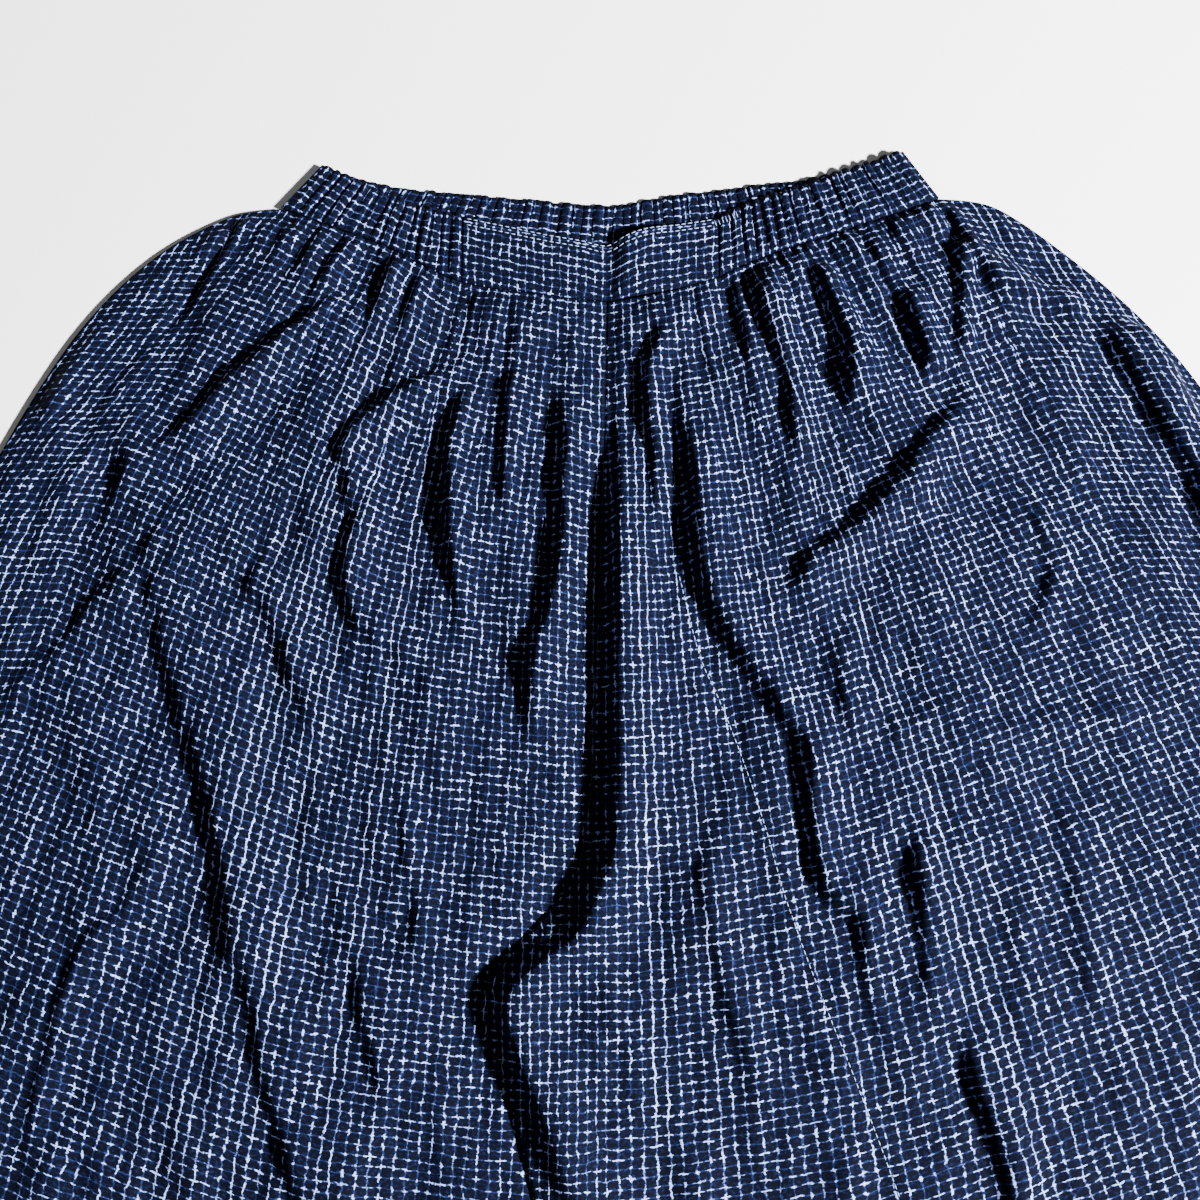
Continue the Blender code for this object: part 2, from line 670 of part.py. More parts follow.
def build_pants():
    """Make every piece of the pants."""
    for item in list(bpy.data.objects):
        bpy.data.objects.remove(item, do_unlink=True)
    collection = bpy.data.collections.new("balloon_pants")
    bpy.context.scene.collection.children.link(collection)
    panel_cloth = material("indigo_panel", INDIGO, 0.85)
    back_cloth = material("indigo_back", INDIGO, 0.88)
    plain_cloth = material("indigo_plain_band", INDIGO_BAND, 0.82)
    elastic_cloth = material("indigo_elastic_band", INDIGO_BAND, 0.86)
    cuff_cloth = material("indigo_cuff", INDIGO_BAND, 0.86)
    pieces = [
        front_panel("front_panel_right", RIGHT_SECTIONS, RIGHT_FOLDS, RIGHT_INNER_RIM,
                    panel_cloth, collection),
        front_panel("front_panel_left", LEFT_SECTIONS, LEFT_FOLDS, LEFT_INNER_RIM,
                    panel_cloth, collection),
        back_panel("back_panel_right", RIGHT_SECTIONS, back_cloth, collection),
        back_panel("back_panel_left", LEFT_SECTIONS, back_cloth, collection),
        waistband_front(plain_cloth, collection),
        waistband_elastic(elastic_cloth, collection),
        ankle_cuff("ankle_cuff_right", RIGHT_SECTIONS, cuff_cloth, collection),
        ankle_cuff("ankle_cuff_left", LEFT_SECTIONS, cuff_cloth, collection),
    ]
    centre_on_origin(pieces)


build_pants()
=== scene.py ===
from collections import namedtuple
from math import atan, cos, hypot, pi, radians, sin

import bmesh
import bpy
import numpy as np
from mathutils import Matrix, Vector, noise
from mathutils.bvhtree import BVHTree


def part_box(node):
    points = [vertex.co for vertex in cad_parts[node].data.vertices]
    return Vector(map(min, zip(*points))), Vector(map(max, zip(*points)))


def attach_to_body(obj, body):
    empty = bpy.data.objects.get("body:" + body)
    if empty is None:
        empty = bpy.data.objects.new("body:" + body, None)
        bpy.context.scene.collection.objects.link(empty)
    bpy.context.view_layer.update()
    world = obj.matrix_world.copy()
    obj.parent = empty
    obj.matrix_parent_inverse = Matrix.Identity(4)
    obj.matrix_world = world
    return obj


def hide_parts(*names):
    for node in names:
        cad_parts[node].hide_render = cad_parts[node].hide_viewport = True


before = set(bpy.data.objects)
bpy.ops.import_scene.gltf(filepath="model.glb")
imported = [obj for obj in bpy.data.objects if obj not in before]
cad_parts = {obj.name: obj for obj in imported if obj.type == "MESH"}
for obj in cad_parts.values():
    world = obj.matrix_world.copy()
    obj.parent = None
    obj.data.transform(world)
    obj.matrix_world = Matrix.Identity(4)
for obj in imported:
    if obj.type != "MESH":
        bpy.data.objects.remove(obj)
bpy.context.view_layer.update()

bl_info = {
    "name": "Balloon Pants",
    "version": (1, 0, 0),
    "blender": (4, 5, 0),
    "location": "View3D > Sidebar > Pants",
    "description": "Dresses the laid-out balloon pants in gathered indigo cloth",
    "category": "Object",
}

# Sizes shared with the solids, in millimetres

MM = 0.001
CLOTH_WALL = 1.2
BAND_WALL = 1.5
SEAM_GAP = 0.3
CUFF_LENGTH = 35.0
RIM_Z = CLOTH_WALL + SEAM_GAP
LOFT = 4.5
OUTER_RIM = 16.0
RIGHT_INNER_RIM = 30.0
LEFT_INNER_RIM = 12.0
FOLD_RIM = 7.0
BAND_FRONT_Z = 3.4
PLAIN_RISE = 2.0
PLAIN_SKEW = 0.6
CUFF_FRONT_Z = 2.6
WAIST_REACH = 1.2           # counted in sections, as the next three are
ANKLE_REACH = 1.5
WAIST_CALM = 0.6
ANKLE_CALM = 1.0
FOLD_START = 0.18           # shares of a fold's length
FOLD_END = 0.25
CROTCH_SECTION = 8
WAIST_BOW_REACH = 5
PLAIN_RIGHT_X = -82.0
PLAIN_LEFT_X = 63.0

# The drawing that the tables below are written in: steps on a sheet, x to the right and y down

BAND_WIDTH = 335.0
BAND_CORNERS = ((320, 163), (905, 150))
SEAM_CENTRE = (607, 300)
VIEW_CENTRE = (600, 600)
VIEW_STEPS = 1500.0
VIEW_SLOPE = 0.19
VIEW_END_Y = 1200
SHEET_STEPS = 1200.0        # the sheet's side, which the camera frames

# Finer cloth, in millimetres

SHELL = 0.6                 # thickness of a single layer
LOWEST_FRONT = CLOTH_WALL + SEAM_GAP + SHELL
FULL_HEIGHT = 16.0          # cloth higher than this is pressed down
HEADROOM = 9.0              # into so much more
BAND_STEP = 1.0             # how far the band stands over the cloth at the waist seam
PUFF = 2.0                  # cloth standing up just below the waist seam
PUFF_PEAK = 14.0            # depth below the seam at which it is highest
ELASTIC_PITCH = 6.9         # crest to crest on the elastic band's front
BACK_PITCH = 6.2            # crest to crest on its back
CUFF_PITCH = 7.0
WAVE_FOLD = 4.6             # height of the slow waves between the folds
WAVE_CRINKLE = 2.3          # height of the small crinkles that follow the threads
CRINKLE_SIZE = 9.0
FOLD_STRAY = 2.2            # how far a fold's line strays from its smooth path
FOLD_STRAY_SIZE = 24.0
WAVE_PUFF = 5.2             # height of the soft puffs under the band
PUFF_SIZE = 24.0
PUFF_DEPTH = 230.0          # depth below the seam at which they are at their lowest
PUFF_FADE = 0.75            # share of their height that they have lost there
WAVE_FOLD_SIZE = 42.0
WAVE_RIM = 20.0             # distance from the inner edge over which waves and crinkles grow
WAVE_BACK = 0.5             # height of the creases in the panels that lie underneath
CREASE_SIZE = 26.0
CREASE_RIM = 14.0           # distance from those panels' edges over which creases grow
CREASE_CALM = 0.6           # the same for their ends, counted in sections
ANKLE_RISE = 1.3            # height of the gathers above a cuff
GATHER_RISE = 1.8           # height of the small gathers under the elastic
GATHER_REACH = 22.0         # how far down they run
GATHER_SPREAD = 16.0        # how much further or less far some of them run
GATHER_LEAST = 10.0         # and the least that any of them runs
UNEVEN_TURN = 2.4           # step of a sine, in radians, that makes neighbours differ

# How finely the cloth is divided

PANEL_COLUMNS = 170
PANEL_ROWS_SEEN = 205
PANEL_ROWS_LOWER = 55
SEEN_SECTIONS = 12.6        # sections that the finer rows cover
BACK_COLUMNS = 60
BACK_ROWS = 110
RIDGE_COLUMNS = 8
RIDGE_ROUND = 0.7           # under 1 for round crests and sharp valleys
BAND_ROWS = 12
PLAIN_COLUMNS = 120
PLAIN_ROWS = 16
TURN_STEPS = 5              # steps round a folded side
THREAD_STEPS = 200
THREAD_SEARCHES = 24        # halvings when the thread through a point is looked for
DEPTH_STEP = 4.0
DEPTH_END = 1000.0          # deeper than any cloth

Section = namedtuple("Section", "inner_x inner_y outer_x outer_y")
Fold = namedtuple("Fold", "height steep gentle path")
Lean = namedtuple("Lean", "depth slope")
Lap = namedtuple("Lap", "section width")
Leg = namedtuple("Leg", "side sections folds inner_rim laps tucks leans full_share lean_power")


# Drawing to surface

def on_surface(x, y):
    """Place on the surface of a drawn point, in steps from where the line of sight meets it."""
    seen_y = min(y, VIEW_END_Y)
    down = seen_y - VIEW_CENTRE[1]
    scale = 1.0 / (1.0 + VIEW_SLOPE * down / VIEW_STEPS)
    tilt = atan(VIEW_SLOPE)
    laid_y = (scale - 1.0) * VIEW_STEPS * sin(tilt) - down * scale * cos(tilt)
    return (x - VIEW_CENTRE[0]) * scale, laid_y - (y - seen_y)


def step_length():
    """Length of a step where the line of sight meets the cloth, in millimetres."""
    (right_x, right_y), (left_x, left_y) = (on_surface(*corner) for corner in BAND_CORNERS)
    return BAND_WIDTH / hypot(left_x - right_x, left_y - right_y)


def laid_point(x, y):
    """Place of a drawn point, in millimetres from the centre front of the waist seam."""
    laid_x, laid_y = on_surface(x, y)
    seam_x, seam_y = on_surface(*SEAM_CENTRE)
    step = step_length()
    return (laid_x - seam_x) * step, (laid_y - seam_y) * step


def laid_points(points):
    """The same for each of several points."""
    return [laid_point(x, y) for x, y in points]


def laid_sections(rows):
    """The same for both ends of each section."""
    return [Section(*laid_point(*row[:2]), *laid_point(*row[2:])) for row in rows]


def laid_folds(rows):
    """The same for each fold's path."""
    return [row._replace(path=laid_points(row.path)) for row in rows]


# Sections across each leg from the waist seam to the ankle

RIGHT_SECTIONS = laid_sections([
    Section(607, 300, 279, 206),
    Section(606, 345, 226, 216),
    Section(605, 400, 150, 258),
    Section(603, 480, 76, 331),
    Section(600, 570, 3, 443),
    Section(596, 670, -48, 545),
    Section(592, 770, -92, 665),
    Section(580, 860, -120, 785),
    Section(560, 905, -133, 880),
    Section(487, 990, -141, 970),
    Section(500, 1040, -144, 1050),
    Section(536, 1135, -145, 1140),
    Section(556, 1200, -144, 1230),
    Section(562, 1290, -139, 1330),
    Section(535, 1400, -125, 1435),
    Section(475, 1515, -103, 1535),
    Section(385, 1625, -72, 1630),
    Section(290, 1710, -42, 1700),
    Section(196, 1776, -16, 1740),
])

LEFT_SECTIONS = laid_sections([
    Section(607, 300, 941, 196),
    Section(606, 345, 998, 206),
    Section(605, 400, 1075, 258),
    Section(603, 480, 1150, 323),
    Section(600, 570, 1212, 398),
    Section(596, 670, 1266, 492),
    Section(592, 770, 1304, 605),
    Section(580, 860, 1327, 722),
    Section(560, 905, 1339, 840),
    Section(498, 995, 1345, 950),
    Section(510, 1040, 1348, 1045),
    Section(546, 1135, 1350, 1150),
    Section(568, 1200, 1350, 1250),
    Section(612, 1310, 1343, 1370),
    Section(672, 1430, 1322, 1480),
    Section(755, 1550, 1290, 1580),
    Section(860, 1655, 1250, 1655),
    Section(930, 1715, 1222, 1708),
    Section(986, 1776, 1198, 1740),
])

# Folds and creases. A path runs down along the crest, with the steep side on the right hand of
# someone who walks down it. A height below zero is a hollow.

RIGHT_FOLDS = laid_folds([
    Fold(9.0, 10, 26, [(368, 286), (248, 372), (184, 437), (130, 462)]),
    Fold(9.0, 14, 40, [(162, 480), (162, 592), (182, 672), (218, 800), (242, 920), (274, 1064),
                        (306, 1184), (345, 1300), (380, 1420)]),
    Fold(-6.0, 18, 16, [(118, 440), (92, 500), (70, 570)]),
    Fold(5.0, 10, 26, [(134, 566), (70, 640), (4, 712)]),
    Fold(8.0, 10, 24, [(488, 358), (420, 390), (356, 438), (360, 512), (352, 592), (384, 640),
                       (424, 664), (456, 712)]),
    Fold(6.5, 12, 22, [(248, 560), (296, 656), (328, 752)]),
    Fold(9.5, 8, 14, [(470, 372), (456, 440), (452, 500), (456, 560), (468, 632)]),
    Fold(5.5, 6, 10, [(514, 366), (508, 440), (508, 530)]),
    Fold(11.0, 9, 18, [(566, 368), (568, 440), (568, 520), (552, 608), (532, 680), (532, 768)]),
    Fold(5.0, 9, 20, [(178, 819), (126, 913), (80, 970), (36, 1136), (30, 1210)]),
    Fold(4.5, 9, 18, [(404, 780), (420, 900), (428, 1010)]),
    Fold(4.5, 10, 20, [(330, 860), (368, 1000), (392, 1120)]),
    Fold(6.0, 16, 26, [(430, 1180), (380, 1340), (300, 1500), (210, 1660)]),
    Fold(5.0, 16, 26, [(60, 1080), (20, 1240), (-20, 1420), (0, 1600)]),
])

LEFT_FOLDS = laid_folds([
    Fold(13.0, 11, 28, [(621, 388), (622, 500), (622, 640), (622, 780), (612, 870), (590, 920),
                        (552, 960), (512, 1000), (530, 1060), (558, 1135), (582, 1200),
                        (632, 1300)]),
    Fold(9.0, 8, 12, [(676, 312), (656, 356), (648, 400), (660, 464), (652, 560)]),
    Fold(11.0, 10, 24, [(690, 350), (696, 480), (712, 592), (752, 664), (808, 744), (814, 800),
                       (826, 880), (866, 920), (878, 1008), (930, 1080)]),
    Fold(9.0, 8, 16, [(750, 268), (790, 376), (796, 480)]),
    Fold(11.0, 8, 16, [(814, 262), (848, 344), (858, 420)]),
    Fold(9.0, 8, 14, [(904, 290), (936, 384)]),
    Fold(7.0, 7, 12, [(958, 232), (962, 300), (962, 376)]),
    Fold(2.5, 7, 12, [(936, 296), (870, 288), (800, 272)]),
    Fold(9.0, 10, 18, [(944, 240), (1016, 288), (1096, 314)]),
    Fold(13.0, 12, 26, [(1098, 306), (1152, 398), (1208, 492), (1258, 590)]),
    Fold(4.0, 8, 12, [(1128, 322), (1188, 386)]),
    Fold(10.0, 12, 24, [(976, 388), (888, 502), (824, 558), (764, 626)]),
    Fold(6.0, 8, 16, [(840, 624), (856, 752)]),
    Fold(4.0, 12, 18, [(1200, 696), (1060, 722), (920, 734)]),
    Fold(2.5, 7, 12, [(1040, 690), (960, 705), (890, 730)]),
    Fold(2.0, 6, 10, [(1010, 770), (950, 782), (890, 800)]),
    Fold(7.0, 9, 20, [(918, 824), (934, 1024)]),
    Fold(9.0, 10, 26, [(960, 1000), (1016, 1200), (1070, 1340)]),
    Fold(5.5, 10, 18, [(1030, 496), (1054, 576), (1022, 648)]),
    Fold(4.0, 10, 20, [(1062, 784), (1102, 1040)]),
    Fold(4.5, 9, 18, [(700, 830), (722, 960), (760, 1090)]),
    Fold(6.0, 16, 26, [(760, 1260), (840, 1400), (920, 1540), (1010, 1680)]),
    Fold(5.0, 16, 26, [(1240, 1100), (1250, 1280), (1230, 1450), (1180, 1620)]),
])

# Tucks at the waist seam, as shares of the way from the centre front to the side

RIGHT_TUCKS = (-0.9, 0.0, 0.15, 0.30, 0.42, 0.50, 0.57, 0.65, 0.72, 0.80, 0.88, 0.96, 1.1, 2.6)
LEFT_TUCKS = (-0.9, 0.0, 0.09, 0.24, 0.34, 0.42, 0.49, 0.57, 0.64, 0.73, 0.81, 0.90, 0.98, 1.1, 2.6)

# How far the threads lean outwards at the side, by depth below the waist seam

RIGHT_LEANS = (Lean(0, 0.50), Lean(60, 0.60), Lean(120, 0.58), Lean(180, 0.36), Lean(240, 0.27),
               Lean(320, 0.30), Lean(450, 0.28), Lean(700, 0.05), Lean(950, -0.10))
LEFT_LEANS = (Lean(0, 0.45), Lean(100, 0.45), Lean(250, 0.45), Lean(350, 0.42), Lean(500, 0.36),
              Lean(700, 0.05), Lean(950, -0.10))
HIP_DEPTH = 230.0           # depth at which the gathered cloth lies at its full width
TUCK_START = 20.0           # depth over which a tuck deepens from the seam
TUCK_RELEASE = 60.0         # depth at which the tucks start to open
TUCK_LENGTHS = (46.0, 96.0)
TUCK_WIDTHS = (2.6, 4.2)
THREAD_SHARES = (-0.9, 2.6)  # shares between which threads are looked for

# Below the crotch the left leg's inner edge rolls over the right leg, by section number

NO_LAP = (Lap(0, 0.0),)
LEFT_LAPS = (Lap(7, 0.0), Lap(8, 3.0), Lap(9, 8.0), Lap(10, 9.0), Lap(11, 13.0), Lap(12, 17.0),
             Lap(13, 15.0), Lap(14, 9.0), Lap(16, 0.0))
LAP_REACH = 48.0            # cloth that the roll draws along
LAP_RISE = 5.5              # height of the rolled edge over the leg's own rim
LAP_ROLL = 12.0             # width of the lap from which the roll has its full height

RIGHT_LEG = Leg(-1.0, RIGHT_SECTIONS, RIGHT_FOLDS, RIGHT_INNER_RIM, NO_LAP, RIGHT_TUCKS,
                RIGHT_LEANS, 0.85, 1.3)
LEFT_LEG = Leg(1.0, LEFT_SECTIONS, LEFT_FOLDS, LEFT_INNER_RIM, LEFT_LAPS, LEFT_TUCKS,
               LEFT_LEANS, 0.70, 1.1)

# Waistband edges, from the right side to the left side

FRONT_TOP = laid_points([
    (320, 163), (370, 187), (420, 207), (465, 216), (506, 225), (547, 234), (583, 240),
    (607, 244), (647, 230), (681, 223), (718, 216), (749, 204), (825, 178), (905, 150)])
FRONT_SEAM = laid_points([
    (279, 206), (337, 227), (383, 244), (421, 263), (459, 280), (530, 292), (607, 300),
    (660, 292), (716, 276), (746, 263), (780, 250), (820, 237), (860, 224), (905, 209),
    (941, 196)])
BACK_TOP = laid_points([
    (320, 163), (375, 182), (450, 192), (525, 198), (607, 204), (675, 194), (750, 185),
    (825, 174), (905, 150)])
BACK_SEAM = laid_points([
    (279, 206), (385, 235), (496, 254), (607, 261), (718, 250), (829, 230), (941, 196)])

# Sewing that shows

LEG_SEAM = laid_points([
    (679, 576), (699, 653), (720, 701), (739, 749), (762, 820), (787, 903), (823, 1001),
    (869, 1117), (900, 1200)])
BAND_FOLD = Fold(5.0, 9, 34, laid_points([(626, 232), (627, 262), (623, 300)]))
STITCH_LENGTH = 3.2
STITCH_GAP = 0.5
STITCH_RADIUS = 0.26
TOP_STITCH_INSETS = (0.7, 4.6)  # below the plain band's upper edge
TACK_COUNT = 7
TACK_SPAN = 12.0            # along the band, across the join on the left side
TACK_LENGTH = 4.2

# Stage, in metres, and finishes

FLOOR_REACH = 6.0
KEY_DISTANCE = 2.4
ABOVE_ALL = 0.2             # height from which the cloth's surface is looked for
SHEEN = 0.04                # how much light a surface mirrors
BAND_STRENGTH = 0.92        # strength of the pale threads on bands and cuffs


# Cloth properties

class PantsSizes(bpy.types.PropertyGroup):
    """Sizes of the cloth that a user would change."""

    cell: bpy.props.FloatProperty(
        name="Weave Cell", description="Distance between neighbouring pale threads",
        default=4.8 * MM, min=1.0 * MM, unit="LENGTH", precision=4)
    band_ridge: bpy.props.FloatProperty(
        name="Band Ridges", description="Height of the gathers on the elastic waistband",
        default=3.3 * MM, min=0.0, unit="LENGTH", precision=4)
    back_ridge: bpy.props.FloatProperty(
        name="Back Band Ridges", description="Height of the gathers on the band's back",
        default=2.4 * MM, min=0.0, unit="LENGTH", precision=4)
    cuff_ridge: bpy.props.FloatProperty(
        name="Cuff Ridges", description="Height of the gathers on the ankle cuffs",
        default=1.6 * MM, min=0.0, unit="LENGTH", precision=4)
    tuck_depth: bpy.props.FloatProperty(
        name="Tuck Depth", description="Depth of the tucks that open below the waist seam",
        default=3.4 * MM, min=0.0, unit="LENGTH", precision=4)


class PantsColours(bpy.types.PropertyGroup):
    """Colours of the cloth and of the sewing thread."""

    ground: bpy.props.FloatVectorProperty(
        name="Ground", description="Dark indigo between the pale threads",
        default=(0.0006, 0.0010, 0.0042), size=3, min=0.0, max=1.0, subtype="COLOR")
    halo: bpy.props.FloatVectorProperty(
        name="Thread Edge", description="Blue where the pale threads fade into the ground",
        default=(0.0078, 0.0142, 0.055), size=3, min=0.0, max=1.0, subtype="COLOR")
    thread: bpy.props.FloatVectorProperty(
        name="Pale Thread", description="Bluish white of the pale threads",
        default=(0.30, 0.40, 0.80), size=3, min=0.0, max=1.0, subtype="COLOR")
    sewing: bpy.props.FloatVectorProperty(
        name="Sewing Thread", description="Thread of the seams and tacks",
        default=(0.30, 0.40, 0.68), size=3, min=0.0, max=1.0, subtype="COLOR")


class PantsStage(bpy.types.PropertyGroup):
    """Light and floor."""

    floor: bpy.props.FloatVectorProperty(
        name="Floor", description="Pale floor under the pants",
        default=(0.90, 0.90, 0.90), size=3, min=0.0, max=1.0, subtype="COLOR")
    key_power: bpy.props.FloatProperty(
        name="Key Light", description="Power of the soft light from the side",
        default=560.0, min=0.0, unit="POWER")
    key_size: bpy.props.FloatProperty(
        name="Key Size", description="Side of the soft light",
        default=0.24, min=0.01, unit="LENGTH")
    key_height: bpy.props.FloatProperty(
        name="Key Height", description="Angle of the soft light above the floor",
        default=radians(38.0), min=0.0, max=radians(90.0), subtype="ANGLE")
    key_turn: bpy.props.FloatProperty(
        name="Key Turn", description="Angle of the light from the side towards the ankles",
        default=radians(20.0), subtype="ANGLE")
    fill: bpy.props.FloatProperty(
        name="Fill", description="Strength of the even light from all round",
        default=0.16, min=0.0, subtype="FACTOR")


# Curves and edges

def blend(low, high, share):
    """Value between low and high."""
    return low + (high - low) * share


def smooth(share):
    """Ease a share of 0 to 1 in and out."""
    share = np.clip(share, 0.0, 1.0)
    return share * share * (3.0 - 2.0 * share)


def curve_at(points, position, corner=None):
    """Points at positions, counted in points, on a smooth curve, with one corner if it is given."""
    points = np.asarray(points, float)
    position = np.asarray(position, float)
    last = len(points) - 1
    index = np.clip(position.astype(int), 0, last - 1)
    part = (position - index)[:, None]
    start = points[index]
    end = points[index + 1]
    before = points[np.maximum(index - 1, 0)]
    after = points[np.minimum(index + 2, last)]
    if corner is not None:
        before = np.where((index == corner)[:, None], start, before)
        after = np.where((index + 1 == corner)[:, None], end, after)
    slope_in = (end - before) / 2.0
    slope_out = (after - start) / 2.0
    rise = end - start
    bend = slope_in + slope_out - 2.0 * rise
    return start + part * (slope_in + part * (3.0 * rise - 2.0 * slope_in - slope_out + part * bend))


def edge_y(points, x):
    """Y where a smooth edge, drawn from -X to +X through the points, crosses each x."""
    xs, ys = np.asarray(points, float).T
    last = len(xs) - 1
    x = np.asarray(x, float)
    index = np.clip(np.searchsorted(xs, x, side="left") - 1, 0, last - 1)
    order = np.arange(last + 1)
    low = np.maximum(order - 1, 0)
    high = np.minimum(order + 1, last)
    slopes = (ys[high] - ys[low]) / (xs[high] - xs[low])
    width = xs[index + 1] - xs[index]
    rise = ys[index + 1] - ys[index]
    part = (x - xs[index]) / width
    turn_in = slopes[index] * width - rise
    turn_out = rise - slopes[index + 1] * width
    return blend(ys[index], ys[index + 1], part) + part * (1.0 - part) * blend(turn_in, turn_out, part)


def plan_shift():
    """How far the solids' plan was moved to stand on the origin, read from the right back panel."""
    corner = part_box("back_panel_right")[1]
    return (corner.x / MM + 0.5 * SEAM_GAP,
            corner.y / MM + SEAM_GAP - RIGHT_SECTIONS[0].outer_y)


# Plan of a leg

def section_ends(leg, v):
    """Inner and outer ends of sections at positions v."""
    inner = curve_at(leg.sections, v, CROTCH_SECTION)[:, :2]
    outer = curve_at(leg.sections, v)[:, 2:]
    return inner, outer


def leg_plan(leg, u, v):
    """Plan points at u, inner edge to outer edge, and v, in sections; with the sections' spans."""
    inner, outer = section_ends(leg, v)
    span = np.hypot(*(outer - inner).T)
    waist = leg.sections[0]
    bow = edge_y(FRONT_SEAM, blend(waist.inner_x, waist.outer_x, u))
    bow = (bow - blend(waist.inner_y, waist.outer_y, u)) * (1.0 - smooth(v / WAIST_BOW_REACH))
    x = blend(inner[:, 0], outer[:, 0], u)
    y = blend(inner[:, 1], outer[:, 1], u) + bow
    return x, y, span


def inset(leg, x, y, u, v):
    """Plan points drawn in by half the seam gap at the inner edge and the ends."""
    last = len(leg.sections) - 1
    x = x + leg.side * 0.5 * SEAM_GAP * (1.0 - u)
    y = y - SEAM_GAP * (1.0 - smooth(v)) + 0.5 * SEAM_GAP * (1.0 - smooth(last - v))
    return x, y


def lap_width(leg, v):
    """How far the leg's inner edge reaches over the other leg at v."""
    return np.interp(v, *zip(*leg.laps))


# Folds

def path_distance(x, y, path):
    """Signed distance to a smooth path, positive on its left hand, and the share of it passed."""
    steps = 6 * (len(path) - 1) + 1
    points = curve_at(path, np.linspace(0.0, len(path) - 1, steps))
    runs = np.diff(points, axis=0)
    lengths = np.hypot(*runs.T)
    nearest = np.full(x.shape, np.inf)
    signed = np.zeros(x.shape)
    passed = np.zeros(x.shape)
    walked = 0.0
    for (x0, y0), (run_x, run_y), length in zip(points, runs, lengths):
        share = np.clip(((x - x0) * run_x + (y - y0) * run_y) / length ** 2, 0.0, 1.0)
        gap = np.hypot(x - x0 - run_x * share, y - y0 - run_y * share)
        closer = gap < nearest
        cross = run_x * (y - y0) - run_y * (x - x0)
        nearest = np.where(closer, gap, nearest)
        signed = np.where(closer, np.where(cross > 0.0, gap, -gap), signed)
        passed = np.where(closer, walked + share * length, passed)
        walked += length
    return signed, passed / walked


def fold_height(folds, x, y):
    """Height that the folds add at plan points."""
    height = np.zeros(x.shape)
    stray = FOLD_STRAY * rough(x, y, FOLD_STRAY_SIZE, 2.9)
    for fold in folds:
        distance, share = path_distance(x, y, fold.path)
        distance = distance + stray
        reach = np.where(distance > 0.0, fold.gentle, fold.steep)
        taper = smooth(share / FOLD_START) * smooth((1.0 - share) / FOLD_END)
        near = np.clip(np.abs(distance) / reach, 0.0, 1.0)
        height += fold.height * taper * 0.5 * (1.0 + np.cos(pi * near))
    return height


def rough(x, y, size, seed):
    """Smooth noise of about -1 to 1 at plan points, with waves of the given size."""
    return np.array([noise.noise((a / size, b / size, seed)) for a, b in zip(x, y)])


def waist_rise(x):
    """Swell of the plain band and of the cloth under it, on both sides of the centre dip."""
    reach = np.where(x < 0.0, -PLAIN_RIGHT_X, PLAIN_LEFT_X)
    share = np.clip(np.abs(x) / reach, 0.0, 1.0)
    return PLAIN_RISE * np.sin(pi * share ** PLAIN_SKEW)


# Threads of the cloth

class Threads:
    """Where the lengthwise threads of one leg's front run, so that weave and tucks follow them."""

    def __init__(self, leg):
        self.leg = leg
        self.waist = abs(leg.sections[0].outer_x)
        self.depths = np.arange(0.0, DEPTH_END, DEPTH_STEP)
        self.slopes = np.interp(self.depths, *zip(*leg.leans))
        self.spreads = self.summed(self.slopes)
        self.extra = self.summed(0.5 * self.slopes ** 2)
        shares = np.linspace(*THREAD_SHARES, THREAD_STEPS)
        places = self.place(shares, np.full(THREAD_STEPS, HIP_DEPTH))
        slopes = self.slope(shares, np.full(THREAD_STEPS, HIP_DEPTH))
        upright = 1.0 / np.hypot(1.0, 0.5 * (slopes[1:] + slopes[:-1]))
        self.shares = shares
        self.widths = np.concatenate(([0.0], np.cumsum(np.diff(places) * upright)))

    def summed(self, values):
        """Running sum over depth."""
        middle = 0.5 * (values[1:] + values[:-1]) * np.diff(self.depths)
        return np.concatenate(([0.0], np.cumsum(middle)))

    def shape(self, share):
        """Share of the side's lean that a thread has."""
        return np.clip(share / self.leg.full_share, 0.0, 1.0) ** self.leg.lean_power

    def slope(self, share, depth):
        """Sideways travel for each unit down."""
        return self.shape(share) * np.interp(depth, self.depths, self.slopes)

    def place(self, share, depth):
        """Distance outwards from the centre line."""
        return self.waist * share + self.shape(share) * np.interp(depth, self.depths, self.spreads)

    def depth(self, share, y):
        """Depth below the waist seam at the thread's own start."""
        start = edge_y(FRONT_SEAM, self.leg.side * self.waist * np.clip(share, 0.0, 1.0))
        return np.maximum(start - y, 0.0)

    def share(self, out, y):
        """Share of the waist seam at which the thread through a point starts."""
        low = np.full(out.shape, THREAD_SHARES[0])
        high = np.full(out.shape, THREAD_SHARES[1])
        for _ in range(THREAD_SEARCHES):
            middle = 0.5 * (low + high)
            beyond = self.place(middle, self.depth(middle, y)) > out
            high = np.where(beyond, middle, high)
            low = np.where(beyond, low, middle)
        return 0.5 * (low + high)

    def across(self, out, y, share, centre):
        """Width coordinate of points in the strips between two tucks with the given centres."""
        depth = self.depth(centre, y)
        upright = 1.0 / np.hypot(1.0, self.slope(centre, depth))
        strip = np.interp(centre, self.shares, self.widths)
        strip = strip + (out - self.place(centre, depth)) * upright
        full = np.interp(share, self.shares, self.widths)
        opened = smooth((self.depth(share, y) - TUCK_RELEASE) / (HIP_DEPTH - TUCK_RELEASE))
        return blend(strip, full, opened)

    def along(self, share, y):
        """Length coordinate of points: the distance along their own thread."""
        depth = self.depth(share, y)
        return depth + self.shape(share) ** 2 * np.interp(depth, self.depths, self.extra)


